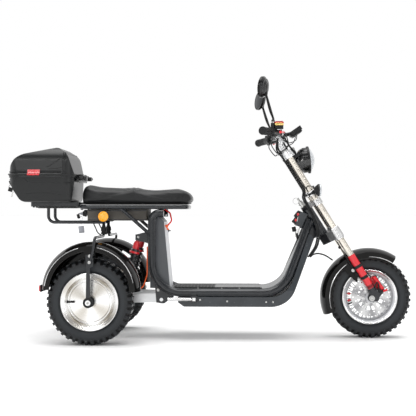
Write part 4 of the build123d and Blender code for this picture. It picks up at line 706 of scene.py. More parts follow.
def seat_skin(name, voxel):
    """Rounded sections along the seat, joined and turned into an even skin."""
    sections = Kit()
    rings = []
    for place in curved([Vector(row) for row in SEAT_SIDE], 4):
        x, top, half = place
        low = 683 + max(0, x + 112)
        ring = []
        for turn in circle(64):
            across = math.copysign(abs(math.cos(turn)) ** 0.5, math.cos(turn))
            rise = math.copysign(abs(math.sin(turn)) ** 0.5, math.sin(turn))
            ring.append(mm(x, half * across * (1 - 0.04 * rise), (top + low) / 2 + (top - low) / 2 * rise))
        rings.append(ring)
    sections.skin(rings)
    skin = sections.done(name, None, seat_leather)
    remesh = skin.modifiers.new("even", "REMESH")
    remesh.mode = "VOXEL"
    remesh.voxel_size = voxel
    soften = skin.modifiers.new("soften", "SMOOTH")
    soften.factor, soften.iterations = 0.5, 4
    bake(skin)
    return skin


def bake(thing):
    """Replace an object's mesh by what its modifiers give."""
    graph = bpy.context.evaluated_depsgraph_get()
    mesh = bpy.data.meshes.new_from_object(thing.evaluated_get(graph))
    thing.modifiers.clear()
    thing.data = mesh


seat = seat_skin("seat_cushion", 0.0055)
rest = [v.co.copy() for v in seat.data.vertices]
# no point of the skin may swell by more than this, in metres
SWELL = 0.005
pins = seat.vertex_groups.new(name="pins")
for vert in seat.data.vertices:
    on_seam = abs(vert.co.x - SEAM_X) < 0.005 and vert.co.z > SEAM_LOW
    if on_seam or vert.co.z < BASE_TOP:
        pins.add([vert.index], 1.0, "REPLACE")
cloth = seat.modifiers.new("cloth", "CLOTH")
cloth.settings.vertex_group_mass = "pins"
cloth.settings.use_pressure = True
cloth.settings.uniform_pressure_force = 3.0
cloth.settings.effector_weights.gravity = 0.0
cloth.settings.tension_stiffness = 15
cloth.settings.bending_stiffness = 2.0
cloth.settings.quality = 5
for step in range(1, 19):
    scene.frame_set(step)
bake(seat)
scene.frame_set(1)
for vert, old in zip(seat.data.vertices, rest):
    move = vert.co - old
    if move.length > SWELL:
        vert.co = old + move.normalized() * SWELL
finer = seat.modifiers.new("finer", "SUBSURF")
finer.levels = finer.render_levels = 1
bake(seat)
seat.vertex_groups.clear()
seat.data.materials.clear()
seat.data.materials.append(seat_leather)
seat.data.polygons.foreach_set("use_smooth", [True] * len(seat.data.polygons))
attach(seat, "frame")
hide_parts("seat")
print("seat cushion", len(seat.data.polygons), "faces")

# %% [markdown]
# A cord is sewn into the lower edge of the cover, and a seam with two rows of stitches crosses it. They
# could be drawn in the material, but real seams stand proud. Rays from outside find the finished cushion's
# surface, so the seams lie on it however it has swollen.

# %% Seat seams
surface = BVHTree.FromPolygons([v.co for v in seat.data.vertices], [p.vertices for p in seat.data.polygons])


def on_seat(middle, direction, reach=0.6):
    """Point where a ray that comes back to a middle point meets the cushion."""
    hit = surface.ray_cast(middle + direction * reach, -direction)[0]
    return hit if hit else middle


seams = Kit()
middle = Vector((SEAM_X, 0, 0.715))
angles = [math.radians(6 + 168 * i / 60) for i in range(61)]
seams.sweep([on_seat(middle, Vector((0, math.cos(a), math.sin(a)))) for a in angles], 1.3, 8)
for height, size in ((0.6905, 3.4), (0.6975, 1.4)):
    loop = []
    for turn in circle(160):
        centre = Vector((-0.373 + 0.2 * max(-1, min(1, 1.6 * math.cos(turn))), 0, height))
        loop.append(on_seat(centre, Vector((math.cos(turn), math.sin(turn), 0))))
    seams.sweep(loop, size, 8, closed=True)
seams.done("seat_seams", "frame", rubber)

stitches = Kit()
for offset in (-0.008, 0.008):
    centre = middle + Vector((offset, 0, 0))
    for i in range(56):
        ends = [math.radians(10 + 160 * (i + share) / 56) for share in (0.2, 0.75)]
        stitches.sweep([on_seat(centre, Vector((0, math.cos(a), math.sin(a)))) for a in ends], 0.6, 5)
stitches.done("seat_stitches", "frame", rubber)


# %% [markdown]
# ## Things on the frame
# Bolts, boots and small trim sit on the CAD surfaces. Their places could be read off by eye, and would then
# float or sink by a millimetre or two. `touch` sends a ray at a CAD piece and gives the place where it
# lands, so that a detail sits on the real surface.

# %% Rays onto the CAD pieces
trees = {}


def touch(node, start, direction):
    """Place where a ray from start meets a CAD piece, or None when it misses."""
    if node not in trees:
        mesh = nodes[node].data
        trees[node] = BVHTree.FromPolygons([v.co for v in mesh.vertices], [p.vertices for p in mesh.polygons])
    return trees[node].ray_cast(Vector(start), Vector(direction))[0]


def beside(node, way, x, z):
    """Place on the outer side of a CAD piece, at a height and length in mm; way is -1 right, 1 left."""
    return touch(node, mm(x, way * 700, z), (0, -way, 0))


# %% [markdown]
# ### Bolts on the frame
# Steel screws and bolts hold the tray, the tubes, the stays and the shocks. Each one is a washer and a
# six-sided head on the piece that it holds. One that finds no surface is printed, not guessed.

# %% Bolts on the frame
bolts = Kit()
for way in (-1, 1):
    out = (0, way, 0)
    for node, x, z, size in (
        ("under_tray", -48, 203, 3.4), ("under_tray", 88, 196, 3.4), ("under_tray", 284, 193, 3.2),
        ("front_cover", 318, 193, 3.2), ("frame_tubes", -240, 204, 8),
        ("guard_stays", -568, 434, 5), ("guard_stays", -568, 404, 5),
        ("frame_tubes", -363, 517, 4), ("rear_shocks", -429, 264, 7), ("frame_tubes", -262, 250, 5),
    ):
        place = beside(node, way, x, z)
        if place:
            bolts.bolt(place, out, size)
        else:
            print("no surface for a bolt on", node, x, z)
    bolts.bolt(mm(-575, way * 383, 210), out, 6, 7)
    for x in (-60, 60, 150):
        bolts.bolt(touch("floor_deck", mm(x, way * 114, 400), (0, 0, -1)), (0, 0, 1), 3, 3)
bolts.done("frame_bolts", "frame", steel_bolt)

# %% [markdown]
# ### Boots, axle rings and brackets
# Rubber boots and a short cable hang below the box under the seat, rings end the rear axle, and small
# brackets carry the tail reflectors. Turned profiles give the round ones, because a few steps along an axis
# say it all.

# %% Rubber boots, axle rings and brackets
boots = Kit()
for way in (-1, 1):
    boots.lathe(mm(-545, way * 80, 0), (0, 0, 1), [
        (529, 8), (531, 15), (538, 15), (540, 12), (546, 12), (548, 15.5), (566, 13.5), (568, 10),
        (574, 9.5), (578, 8), (584, 7.5),
    ])
    cap = [(0, 25), (1.5, 25), (3.5, 22), (3.5, 15), (1, 14)]
    boots.lathe(mm(-575, way * 374.3, 210), (0, way, 0), cap, 32)
    # bracket that carries the tail reflector
    boots.block(mm(-806, way * 292, 268), (16, 40, 14), bevel=3)
    boots.block(mm(-814, way * 292, 274), (8, 66, 34), bevel=3)
    drop = [(-597, 80, 585), (-588, 84, 566), (-574, 92, 540), (-556, 98, 526)]
    boots.sweep([mm(x, way * y, z) for x, y, z in drop], 3.2, smooth=6)
boots.done("boots_and_brackets", "frame", cable_black)

# %% [markdown]
# ### Painted highlight lines on the guards
# A thin bar of bright metal follows the skirt of each guard as a painted highlight, where the gloss black
# would mirror a lamp, and a dark lip hangs inside the rear ones. A line could be painted by a mask, but a
# thin bar along the arc also catches the light. Lines and lips follow the same arcs as the guards.

# %% Guard lines
def arc(centre, radius, side, start, end, steps=60):
    """Points round a wheel's guard: centre in metres, radius and side in mm, angles in degrees."""
    turns = [math.radians(start + (end - start) * i / steps) for i in range(steps + 1)]
    return [centre + Vector((math.cos(t) * radius, side, math.sin(t) * radius)) / 1000 for t in turns]


REAR_GUARD = mm(-572, 0, 260)
lines = Kit()
lips = Kit()
for way in (-1, 1):
    # painted highlight lines along each rear guard's skirt
    lines.sweep(arc(REAR_GUARD, 217, way * 366.6, 12, 80), 1.9, 8)
    lines.sweep(arc(REAR_GUARD, 217, way * 366.6, 104, 172), 1.9, 8)
    thick = mm(0, way * 2, 0)
    edges = zip(*[arc(REAR_GUARD, radius, way * 219, 64, 168) for radius in (206, 168)])
    lips.skin([[a, b, b + thick, a + thick] for a, b in edges])
lines.done("guard_lines", "frame", painted_highlight)
lips.done("guard_lips", "frame", gloss_black)

# %% [markdown]
# ### Lamps beside the box under the seat
# Each lamp has a black cup and an amber dome with rings moulded in it. Both are turned, like the real ones'
# moulds, so the rings are true steps of the surface and not only a bump.

# %% Side lamps
cups = Kit()
domes = Kit()
for way in (-1, 1):
    out = (0, way, 0)
    cup = [(0, 12), (0, 24), (3, 28.5), (14, 29.5), (18, 29), (18.5, 26.5), (16, 26)]
    dome = [(0, 26.2), (2.5, 25.6), (4, 22), (3.2, 20), (4.8, 18), (6.4, 12), (5.8, 10), (7, 7), (7.5, 0)]
    cups.lathe(mm(-538, way * 126, 622), out, cup, 40)
    domes.lathe(mm(-538, way * 143, 622), out, dome, 40)
cups.done("lamp_cups", "frame", plastic_black)
domes.done("lamp_domes", "frame", amber_lens)

# %% [markdown]
# ### Seat lock, its key and tag
# The lock sits at the back of the box under the seat, with one key in it and a tag on a ring. Boxes with
# softened edges and a turned barrel are enough at this size.

# %% Seat lock
lock = Kit()
lock.lathe(mm(-652, 0, 636), (-1, 0, 0), [(-4, 16), (4, 16), (6, 14), (14, 13), (15, 10), (15, 4)])
lock.block(mm(-640, -30, 648), (26, 44, 16), bevel=4)
lock.block(mm(-690, -2, 622), (15, 7, 24), ahead=(1, 0, 0.25), bevel=3)
lock.block(mm(-668, -22, 668), (12, 12, 26), bevel=3)
lock.sweep([mm(-640, -60, 640), mm(-618, -72, 618), mm(-600, -80, 600)], 4, 10, smooth=5)
lock.done("seat_lock", "frame", cable_black)
tag = Kit()
tag.lathe(mm(-667, 0, 636), (-1, 0, 0), [(0, 6.5), (10, 6.5), (12, 4.5), (22, 2), (24, 1.5)], 14)
tag.wire_ring(mm(-676, -2, 611), (7, 11), 0.9, 20)
tag.sweep([mm(-676, -2, 600), mm(-675, -3, 588), mm(-674, -2, 575)], 0.8, 6, smooth=4)
tag.block(mm(-674, -2, 553), (29, 3, 36), ahead=(1, 0, 0.1), bevel=3)
tag.block(mm(-674, -3.6, 551), (18, 1.5, 20), ahead=(1, 0, 0.1), bevel=0.6)
tag.done("seat_lock_key", "frame", tag_grey)

# %% [markdown]
# ### Battery plugs and handle, and trim of the box
# Two orange halves of a plug end the red lead. The battery has a handle on top, and the box under the seat
# has a rim along each side. The handle is one bar along a smooth curve, because a real one is a bent rod.

# %% Battery plugs, handle and box trim
LEAD_END = mm(-222, -70, 566)
plugs = Kit()
plugs.block(LEAD_END + mm(0, 0, 6), (13, 12, 16), ahead=(0.97, 0, 0.3), bevel=2)
plugs.block(LEAD_END + mm(5, 0, -8), (10, 10, 10), ahead=(0.97, 0, 0.3), bevel=2)
plugs.done("battery_plugs", "frame", orange_plastic)
panels = Kit()
panels.block(mm(-252, 0, 628), (44, 90, 8), bevel=3)
panels.sweep([mm(-268, y, z) for y, z in ((-36, 630), (-34, 646), (34, 646), (36, 630))], 4, smooth=5)
for way in (-1, 1):
    panels.block(mm(-473, way * 95, 653), (296, 4, 6), bevel=1.2)
    panels.block(mm(-473, way * 95, 606), (296, 3, 4), bevel=1)
for x, z in ((12, -24), (20, -20)):
    lead = ((4, 0, -10), (x - 4, 0, -16), (x, 0, z))
    panels.sweep([LEAD_END + mm(*step) for step in lead], 2.6, 8, smooth=5)
panels.done("battery_and_box_trim", "frame", satin_black)

# %% [markdown]
# ### Ignition lock with its keys
# The lock barrel stands on the upper fork crown and turns with it. Two black remote fobs with red buttons
# and the spare keys hang from the box behind the neck. They are pieces of their own, because the crown
# turns and the box does not.

# %% Ignition lock and keys
LOCK = fork(-12, -14, 588)
LOCK_UP = Vector((-0.58, 0, 0.81))
barrel = Kit()
shape = [(-18, 13), (-4, 13), (-3, 16), (4, 16), (5, 12.5), (14, 12), (15, 9), (15, 3)]
barrel.lathe(LOCK, LOCK_UP, shape, 28)
barrel.block(LOCK + LOCK_UP * 0.024, (12, 3, 22), ahead=(0.81, 0, 0.58), bevel=1)
barrel.wire_ring(LOCK + LOCK_UP * 0.030 + mm(-10, -2, -10), (16, 16), 1.0, 24)
barrel.done("ignition_lock", "steering", steel_bolt)
chain = Kit()
links = [(455, -33, 622), (450, -35, 612), (448, -30, 592), (446, -24, 572)]
chain.sweep([mm(*link) for link in links], 1.3, 8, smooth=8, rib=0.35)
for x, z, lean in ((440, 536, 0.15), (456, 552, -0.35)):
    chain.block(mm(x, -26, z), (9, 2.4, 44), ahead=(1, 0, lean), bevel=0.8)
chain.wire_ring(mm(446, -25, 566), (11, 12), 1.1, 24)
chain.done("spare_keys", "frame", steel_bolt)

fobs = Kit()
buttons = Kit()
FOB_UP = Vector((0.62, 0, 0.78))
FOB_AHEAD = FOB_UP.cross(Vector((0, 1, 0)))
for x, y, z in ((452, -20, 631), (441, -20, 602)):
    fobs.block(mm(x, y, z), (27, 13, 40), ahead=FOB_AHEAD, up=FOB_UP, bevel=6)
    fobs.block(mm(x, y, z) + FOB_UP * 0.016, (14, 8, 10), ahead=FOB_AHEAD, up=FOB_UP, bevel=3)
    buttons.lathe(mm(x + 1, y - 6, z + 1), (0, -1, 0), [(-1, 7), (1, 7), (2.4, 5.5), (2.6, 0)], 20)
for x, z in ((432, 556), (470, 575)):
    fobs.block(mm(x, -26, z), (22, 7, 26), ahead=(1, 0, 0.2), bevel=3)
fobs.block(mm(448, -30, 520), (12, 5, 30), ahead=(1, 0, 0.15), bevel=2)
fobs.done("key_fobs", "frame", cable_black)
# the buttons take the red lens finish, so they glow faintly: painted light, as they are no lamp
buttons.done("key_buttons", "frame", red_lens)

# %% [markdown]
# ### Mat ribs and peg rings
# Rubber ribs cross the mat, and bright rings ridge the foot pegs for grip. A bump would look flat from the
# side, so both are geometry. Each peg's rings are one turned profile that swings with the peg.

# %% Mat ribs and peg rings
ribs = Kit()
for i in range(12):
    x = -176 + 190 * i / 11
    ribs.block(mm(x, 0, 262.6), (7, 196, 2.4), bevel=0.9)
for way in (-1, 1):
    ribs.block(mm(38, way * 106, 262.6), (436, 4, 2.6), bevel=0.9)
ribs.done("mat_ribs", "frame", rubber)
for way, body in ((-1, "peg_right"), (1, "peg_left")):
    rings = Kit()
    place = mm(-78, way * 172, 208)
    profile = [(14, 7.6)]
    for i in range(9):
        profile += [(30 + i * 10, 7.6), (32 + i * 10, 9.2), (36 + i * 10, 9.2), (38 + i * 10, 7.6)]
    rings.lathe(place, (-1, 0, 0), profile + [(124, 7.6), (128, 9.6), (131, 9.6), (132.5, 7)], 24)
    rings.bolt(place + Vector((0, 0, 0.0085)), (0, 0, 1), 5.5, 4)
    rings.done(body + "_rings", body, bright_metal)


# %% [markdown]
# ## Top case
# The lid and the tub have a double rim, creases pressed in the sides, and a ribbed plate below. The creases
# could be cut into the solid, but thin bars that rays lay on its surface follow the curved sides better.
# What is on the lid opens with it.

# %% Lines on the case
def line_on(node, way, points, steps=8):
    """Smooth line on the side of a CAD piece, through lengths and heights in mm."""
    route = curved([Vector((x, 0, z)) for x, z in points], steps)
    return [spot for spot in (beside(node, way, p.x, p.z) for p in route) if spot]


def ring_on(node, centre, aims, reach):
    """Places where rays that come back to a centre from these directions meet a CAD piece."""
    spots = [touch(node, centre + aim * reach, -aim) for aim in aims]
    return [spot for spot in spots if spot]


tub_lines = Kit()
lid_lines = Kit()
for way in (-1, 1):
    groove = [(-934, 813), (-920, 800), (-897, 793), (-800, 792), (-720, 792), (-692, 793)]
    tub_lines.sweep(line_on("case_tub", way, groove), 1.7, 8)
    tub_lines.sweep(line_on("case_tub", way, [(-926, 738), (-840, 742), (-760, 733), (-706, 726)]), 1.3, 8)
    tub_lines.block(beside("case_tub", way, -776, 810), (7, 4, 14), bevel=1.4)
    lid_lines.sweep(line_on("case_lid", way, [(-820, 870), (-800, 880), (-764, 905), (-729, 926)]), 1.8, 8)
    lid_lines.sweep(line_on("case_lid", way, [(-808, 862), (-772, 864), (-736, 871)]), 1.2, 8)
# double rim round the sides and back, where lid and tub meet
turns = [math.radians(60 + 2.5 * i) for i in range(97)]
aims = [Vector((math.cos(t), math.sin(t), 0)) for t in turns]
for height in (848, 835):
    lid_lines.sweep(ring_on("case_lid", mm(-850, 0, height), aims, 0.6), 5)
# raised lip round the lid's front face
turns = [math.radians(3 * i) for i in range(61)]
aims = [Vector((0, math.cos(t), math.sin(t))) for t in turns]
for x, size in ((-728, 3.6), (-737, 2.2)):
    lid_lines.sweep(ring_on("case_lid", mm(x, 0, 842), aims, 0.5), size, 8)
tub_lines.block(mm(-672, 0, 806), (12, 240, 16), bevel=3)
for way in (-1, 1):
    tub_lines.block(mm(-654, way * 70, 818), (44, 38, 22), bevel=5)
    tub_lines.lathe(mm(-640, way * 92, 819), (0, way, 0), [(0, 9), (6, 9), (8, 6), (8, 0)])
# ribs and feet of the plate under the case
for i in range(16):
    x = -902 + 230 * i / 15
    for way in (-1, 1):
        tub_lines.block(mm(x, way * 97, 671), (9, 14, 7 + 3 * (i % 2)), bevel=1.5)
tub_lines.block(mm(-790, 0, 668), (200, 120, 9), bevel=3)
tub_lines.done("case_tub_trim", "frame", case_plastic)
lid_lines.done("case_lid_trim", "case_lid", case_plastic)

# %% [markdown]
# Red reflectors wrap the rim, and a lock hangs at the back with two tags and a key. The reflectors are thin
# shells that stand off the lid's sides, so that they keep its curve.

# %% Case reflectors, lock and keys
flash = Kit()
for way in (-1, 1):
    for low, high, out in ((832, 858, 7.0), (829.5, 838, 8.5)):
        row = []
        for i in range(13):
            x = -914 + 62 * i / 12
            column = []
            for share in (0, 0.5, 1):
                z = low + (high - low) * share
                spot = beside("case_lid", way, x, z)
                column.append(spot + Vector((0, way * out / 1000, 0)))
            inner = [point - Vector((0, way * (out + 3) / 1000, 0)) for point in reversed(column)]
            row.append(column + inner)
        flash.skin(row)
flash.done("case_reflectors", "case_lid", red_lens)

clasp = Kit()
clasp.lathe(mm(-1031, 0, 848), (-1, 0, 0), [(-4, 15), (6, 15), (9, 12), (9, 5)])
clasp.block(mm(-1030, 0, 836), (12, 78, 20), bevel=5)
for x, y, z, lean in ((-1042, -6, 800, 0.35), (-1046, -10, 762, -0.3)):
    clasp.block(mm(x, y, z), (24, 6, 22), ahead=(1, 0, lean), bevel=3)
    clasp.wire_ring(mm(x, y, z + 13), (9, 9), 1.2, 18)
clasp.done("case_lock", "case_lid", cable_black)
keys = Kit()
keys.sweep([mm(-1042, -2, 846), mm(-1046, -4, 832), mm(-1042, -6, 820)], 1.2, 6, smooth=4)
keys.sweep([mm(-1043, -8, 790), mm(-1045, -10, 780)], 1.2, 6)
keys.block(mm(-1036, -10, 737), (7, 2, 30), ahead=(1, 0, -0.35), bevel=0.6)
keys.done("case_keys", "case_lid", steel_bolt)


# %% [markdown]
# ## Fork and lamp
# Silver rings and flared collars clamp the fork tubes, black bands and ribs ring the red legs, dark slots
# mark the risers, and bolts hold the guard and the bar. All of it is turned about the leaning tubes' own
# axis, and it turns with the steering.

# %% Fork rings, bands and bolts
# clamp rings on the fork tubes in mm: foot, top and radius
CLAMPS = ((597, 604, 25.5), (614, 621, 25), (540, 548, 24), (395, 404, 23.5), (336, 345, 23.5))
rings = Kit()
seals = Kit()
studs = Kit()
for way in (-1, 1):
    leg = fork(LEG_AHEAD, way * LEG_Y, 0)
    for low, high, size in CLAMPS:
        clamp = [(low, 17.2), (low, size - 1), (low + 1, size)]
        clamp += [(high - 1, size), (high, size - 1), (high, 17.2)]
        rings.lathe(leg, FORK_UP, clamp, 32)
    for up in (356, 384, 560):
        rings.bolt(fork(LEG_AHEAD - 4, way * 117.5, up), (0, way, 0), 4.5)
    for low, high in ((100, 116), (163, 179)):
        band = [(low, 17.2), (low, 18.4), (low + 2, 19.4)]
        band += [(high - 2, 19.4), (high, 18.4), (high + 0.5, 17.1)]
        seals.lathe(leg, FORK_UP, band, 32)
    for i in range(7):
        seals.lathe(leg, FORK_UP, [(46 + i * 2.4, 18.5), (46.8 + i * 2.4, 19.1), (47.8 + i * 2.4, 18.5)], 28)
    for x, z in ((729, 348), (759, 301)):
        studs.bolt(beside("front_guard", way, x, z), (0, way, 0), 6)
    studs.bolt(beside("front_axle", way, 817, 210), (0, way, 0), 10, 9)
    studs.bolt(beside("headlight", way, 472, 906), (0, way, 0), 4, 4)
    for side in (47, 29):
        studs.bolt(fork(BAR_AHEAD, way * side, BAR_UP + 14), FORK_UP, 4)
    studs.lathe(fork(LEG_AHEAD, way * LEG_Y, 858), FORK_UP, [(-2, 16), (3, 16), (5, 13), (5, 7), (3, 6)], 28)
    collar = [(816, 17.2), (817, 21), (820, 26), (824, 27.5), (830, 27.5), (833, 25), (835, 22)]
    rings.lathe(leg, FORK_UP, collar, 36)
    slot = beside("top_crown", way, 386, 984)
    if slot:
        seals.block(slot, (42, 2, 8), ahead=(-0.5, 0, 0.86), up=(0.86, 0, 0.5), bevel=0.8)
studs.lathe(fork(96, -52, 836), FORK_UP, [(-10, 9), (8, 9), (8, 11), (20, 11), (22, 8)], 24)
studs.lathe(fork(0, 0, 572), FORK_UP, [(0, 24), (6, 24), (8, 20), (8, 12), (16, 11), (17, 8)], 6)
rings.done("fork_rings", "steering", bright_metal)
seals.done("fork_seals", "steering", cable_black)
studs.done("fork_bolts", "steering", steel_bolt)

# %% [markdown]
# ### Front brake and guard lines
# The red caliper gets a turned bar, a bent pipe and a hose that is clipped to the fork leg. Bright bars,
# painted highlights, follow the front guard, by the same arcs as on the rear ones.

# %% Brake caliper trim and guard lines
caliper = Kit()
caliper.fork_block(mm(862, -92, 250), (24, 22, 26), 5)
pipe = [(832, -106, 268), (842, -115, 290), (850, -117, 280), (852, -108, 258)]
caliper.sweep([mm(*step) for step in pipe], 3.2, smooth=6)
hose = [(84, -70, 88), (78, -78, 120), (34, -82, 170), (32, -84, 240), (34, -86, 330)]
caliper.sweep([fork(*step) for step in hose], 3.2, smooth=8)
caliper.fork_block(fork(30, -80, 140), (14, 12, 12), 2)
caliper.fork_block(fork(30, -82, 300), (14, 14, 12), 2)
caliper.done("caliper_trim", "steering", cable_black)
reds = Kit()
bar_low = mm(873, -107, 256)
bar_high = mm(828, -104, 319)
turned = [(0, 6), (2, 9), (20, 9), (22, 7.5), (28, 7.5), (30, 9), (66, 9), (70, 8), (77, 6), (78, 0)]
reds.lathe(bar_low, bar_high - bar_low, turned, 24)
reds.lathe(mm(888, -104, 250), (0.9, 0, 0.3), [(-14, 5), (-4, 6), (6, 6), (9, 4), (9, 0)], 18)
reds.done("caliper_bar", "steering", red_paint)
lines = Kit()
for way in (-1, 1):
    # painted highlight lines along the front guard's skirts
    lines.sweep(arc(FRONT_AXLE, 207, way * 70.6, 30, 92), 1.9, 8)
    lines.sweep(arc(FRONT_AXLE, 207, way * 70.6, 118, 196), 1.9, 8)
lines.done("front_guard_lines", "steering", painted_highlight)

# %% [markdown]
# ### Headlight
# A black rim with ribs behind it holds the clear dome. Two blocks and a cable join the lamp to the fork.
# The ribs are set round the lamp's own axis, which tilts up a little.

# %% Headlight
LAMP_TILT = math.radians(6)
LAMP_OUT = Vector((math.cos(LAMP_TILT), 0, math.sin(LAMP_TILT)))
LAMP_RISE = LAMP_OUT.cross(Vector((0, 1, 0)))
LAMP = fork(LEG_AHEAD + 86, 0, 760)
rim = Kit()
rim.lathe(LAMP, LAMP_OUT, [(-9, 68.5), (-8, 70.5), (1, 70.5), (3, 69), (3.5, 65.5), (0.4, 64.5)], 64)
for turn in circle(18):
    edge = Vector((0, math.cos(turn), 0)) + LAMP_RISE * math.sin(turn)
    rim.block(LAMP + LAMP_OUT * -0.020 + edge * 0.0635, (24, 3, 3), ahead=LAMP_OUT, bevel=1)
rim.lathe(LAMP, LAMP_OUT, [(-72, 14), (-70, 24), (-64, 29), (-62, 27)], 32)
for side in (-58, 58):
    rim.fork_block(fork(92, side, 812), (34, 12, 20), 3)
rim.sweep([LAMP - LAMP_OUT * 0.068, fork(70, 8, 740), fork(40, 12, 770), fork(30, 10, 830)], 4, smooth=6)
rim.done("headlight_rim", "steering", plastic_black)

# %% [markdown]
# ### Indicators
# The clear glass faces forward, with a dark cup behind it and a wire to the fork. The steps of the glass are
# in its turned profile, as in the lamps under the seat.

# %% Front indicators
glass = Kit()
wires = Kit()
for way in (-1, 1):
    spot = fork(LEG_AHEAD + 29, way * 142, 606) + mm(13, 0, 0)
    dome = [(-8, 30.4), (0.4, 30.4), (1.6, 29), (3, 25), (2.2, 22), (4.2, 18), (5.4, 10), (5.8, 0)]
    glass.lathe(spot, (1, 0, 0), dome, 40)
    wires.lathe(spot, (1, 0, 0), [(-32, 9), (-28, 16), (-14, 30.8), (-9, 31.4), (-7, 31.4), (-6, 30)], 40)
    run = ((70, 132, 640), (50, 112, 650), (40, 100, 628))
    wires.sweep([spot + mm(-30, 0, 4)] + [fork(x, way * y, z) for x, y, z in run], 2.2, 8, smooth=6)
    wires.fork_block(fork(60, way * 117, 608), (16, 14, 16), 3)
glass.done("indicator_glass", "steering", clear_lens)
wires.done("indicator_cups", "steering", plastic_black)

# %% [markdown]
# ## Handlebar
# The bar's ends sweep back, so a point on them isn't easy to write down. It is found the way the CAD finds
# it, by a distance in from the tip.

# %% Places on the bar
BAR = fork(BAR_AHEAD, 0, BAR_UP)
# distance of a brake lever's perch from the bar's tip in mm
PERCH = 159


def on_bar(way, distance):
    """Point on a bar end, a distance in mm in from its tip, and the direction inward."""
    tip = BAR + mm(-97, way * 372, -8)
    inward = (BAR + mm(0, way * 112, 0) - tip).normalized()
    return tip + inward * distance / 1000, inward


print("middle of the bar", [round(v, 3) for v in BAR])


# %% [markdown]
# ### Grips, levers and reservoirs
# A grip is one turned profile with its ribs. A lever is a bent bar with a ball at its end, and the brake
# fluid sits in a gold box under a red cap. The ribs could be an Array modifier, but a loop in the profile
# is shorter.

# %% Grips, levers and reservoirs
grips = Kit()
levers = Kit()
caps = Kit()
bodies = Kit()
switches = Kit()
for way in (-1, 1):
    tip, inward = on_bar(way, 0)
    profile = [(-4, 10), (-4, 19), (-2, 20.5), (4, 20.5), (6, 18.3)]
    for i in range(26):
        profile += [(8 + i * 4.2, 18.2), (9 + i * 4.2, 19.3), (11 + i * 4.2, 19.3), (12 + i * 4.2, 18.2)]
    grips.lathe(tip, inward, profile + [(120, 18.2), (121, 21), (126, 21), (127, 18)], 32)
    perch = on_bar(way, PERCH)[0]
    lever_tip = on_bar(way, 18)[0] + mm(78, 0, -6)
    halfway = perch + (lever_tip - perch) * 0.5 + mm(32, 0, 2)
    blade = [perch + mm(34, 0, 2), perch + mm(52, way * 8, 0), halfway, lever_tip + mm(2, 0, 0)]
    levers.sweep(blade, 4.6, 12, smooth=10)
    levers.lathe(lever_tip, lever_tip - perch, [(-6, 5), (0, 6.5), (6, 6.5), (9, 4), (10, 0)], 18)
    levers.block(perch + mm(30, 0, 48.5), (45, 35, 5), bevel=2)
    levers.block(perch + mm(30, 0, 53), (36, 26, 5), bevel=2)
    bodies.block(perch + mm(30, 0, 40), (43, 33, 12), bevel=2.4)
    caps.bolt(perch + mm(44, way * 8, 55), (0, 0, 1), 2.4, 2)
    caps.bolt(perch + mm(16, -way * 8, 55), (0, 0, 1), 2.4, 2)
    caps.lathe(perch + mm(0, 0, 46.3), (0, 0, 1), [(0, 10), (7, 10), (9, 8), (15, 8), (16, 6)], 6)
    block, inward = on_bar(way, 140)
    shell = [(-11, 19), (-10, 22.5), (10, 23), (11, 20), (13, 20), (14, 23), (34, 23), (36, 19)]
    switches.lathe(block, inward, shell, 28)
    switches.block(block + mm(-6, 0, 20), (22, 24, 10), bevel=3)
    switches.block(block + mm(-20, 0, 2), (8, 16, 12), bevel=3)
grips.done("grip_ribs", "steering", rubber)
levers.done("brake_levers", "steering", red_paint)
bodies.done("reservoirs", "steering", gold_metal)
caps.done("bar_screws", "steering", steel_bolt)
switches.done("switch_blocks", "steering", plastic_black)

# %% [markdown]
# ### Mirrors
# A round shell holds a slightly domed glass, on a bent stalk that starts at the brake lever's perch. The
# dome matters: flat glass would mirror one even patch of the room.

# %% Mirrors
glass = Kit()
shells = Kit()
for way in (-1, 1):
    perch = on_bar(way, PERCH)[0]
    middle = Vector((perch.x - 0.050, way * 0.254, BAR.z + 0.216))
    facing = Vector((1, way * 0.42, -0.14)).normalized()
    shells.lathe(middle, facing, [(-8.5, 48.5), (-9.5, 50), (-9, 52.6), (-2, 53.2), (2, 52.6), (2.5, 51)], 56)
    shells.lathe(middle, facing, [(17, 26), (20, 24), (23, 15), (24, 0)], 40)
    glass.lathe(middle, facing, [(-6, 48.6), (-8, 48.6), (-9.2, 40), (-10, 25), (-10.4, 0)], 56)
    head = middle + mm(12, way * 4, -26)
    shells.lathe(head, head - perch, [(-16, 6), (-10, 9), (-2, 10), (4, 8)], 20)
    foot = perch + mm(0, 0, 46.3)
    bend = foot + (head - foot) * 0.4 + mm(-2, 0, 8)
    shells.sweep([foot + mm(0, 0, 14), foot + mm(0, 0, 26), bend, head], 5.6, 12, smooth=8)
shells.done("mirror_shells", "steering", gloss_black)
glass.done("mirror_glass", "steering", mirror_glass)

# %% [markdown]
# ### Display and wires
# A dark screen lies in a raised bezel. Wires loop from it, and from the levers and switches, to the fork.
# Real wires hang in soft bends, so each one is a smooth curve through a few points.

# %% Display and its wires
DISPLAY_UP = Vector((-0.57, 0, 0.82)).normalized()
DISPLAY_AHEAD = Vector((0.82, 0, 0.57))
place = BAR + mm(83, 0, 20)
top = place + DISPLAY_UP * 0.010
screen = Kit()
screen.block(place + DISPLAY_UP * 0.0092, (58, 82, 3), ahead=DISPLAY_AHEAD, up=DISPLAY_UP, bevel=1.2)
screen.done("display_screen", "steering", dark_glass)
bezel = Kit()
for spot, size, edge in (
    (place - DISPLAY_UP * 0.012, (60, 84, 14), 5),
    (top + mm(0, -44.8, 0), (70, 5, 5), 2),
    (top + mm(0, 44.8, 0), (70, 5, 5), 2),
    (top - DISPLAY_AHEAD * 0.033, (6, 92, 5), 2),
    (top + DISPLAY_AHEAD * 0.033, (6, 92, 5), 2),
):
    bezel.block(spot, size, ahead=DISPLAY_AHEAD, up=DISPLAY_UP, bevel=edge)
bezel.done("display_bezel", "steering", plastic_black)
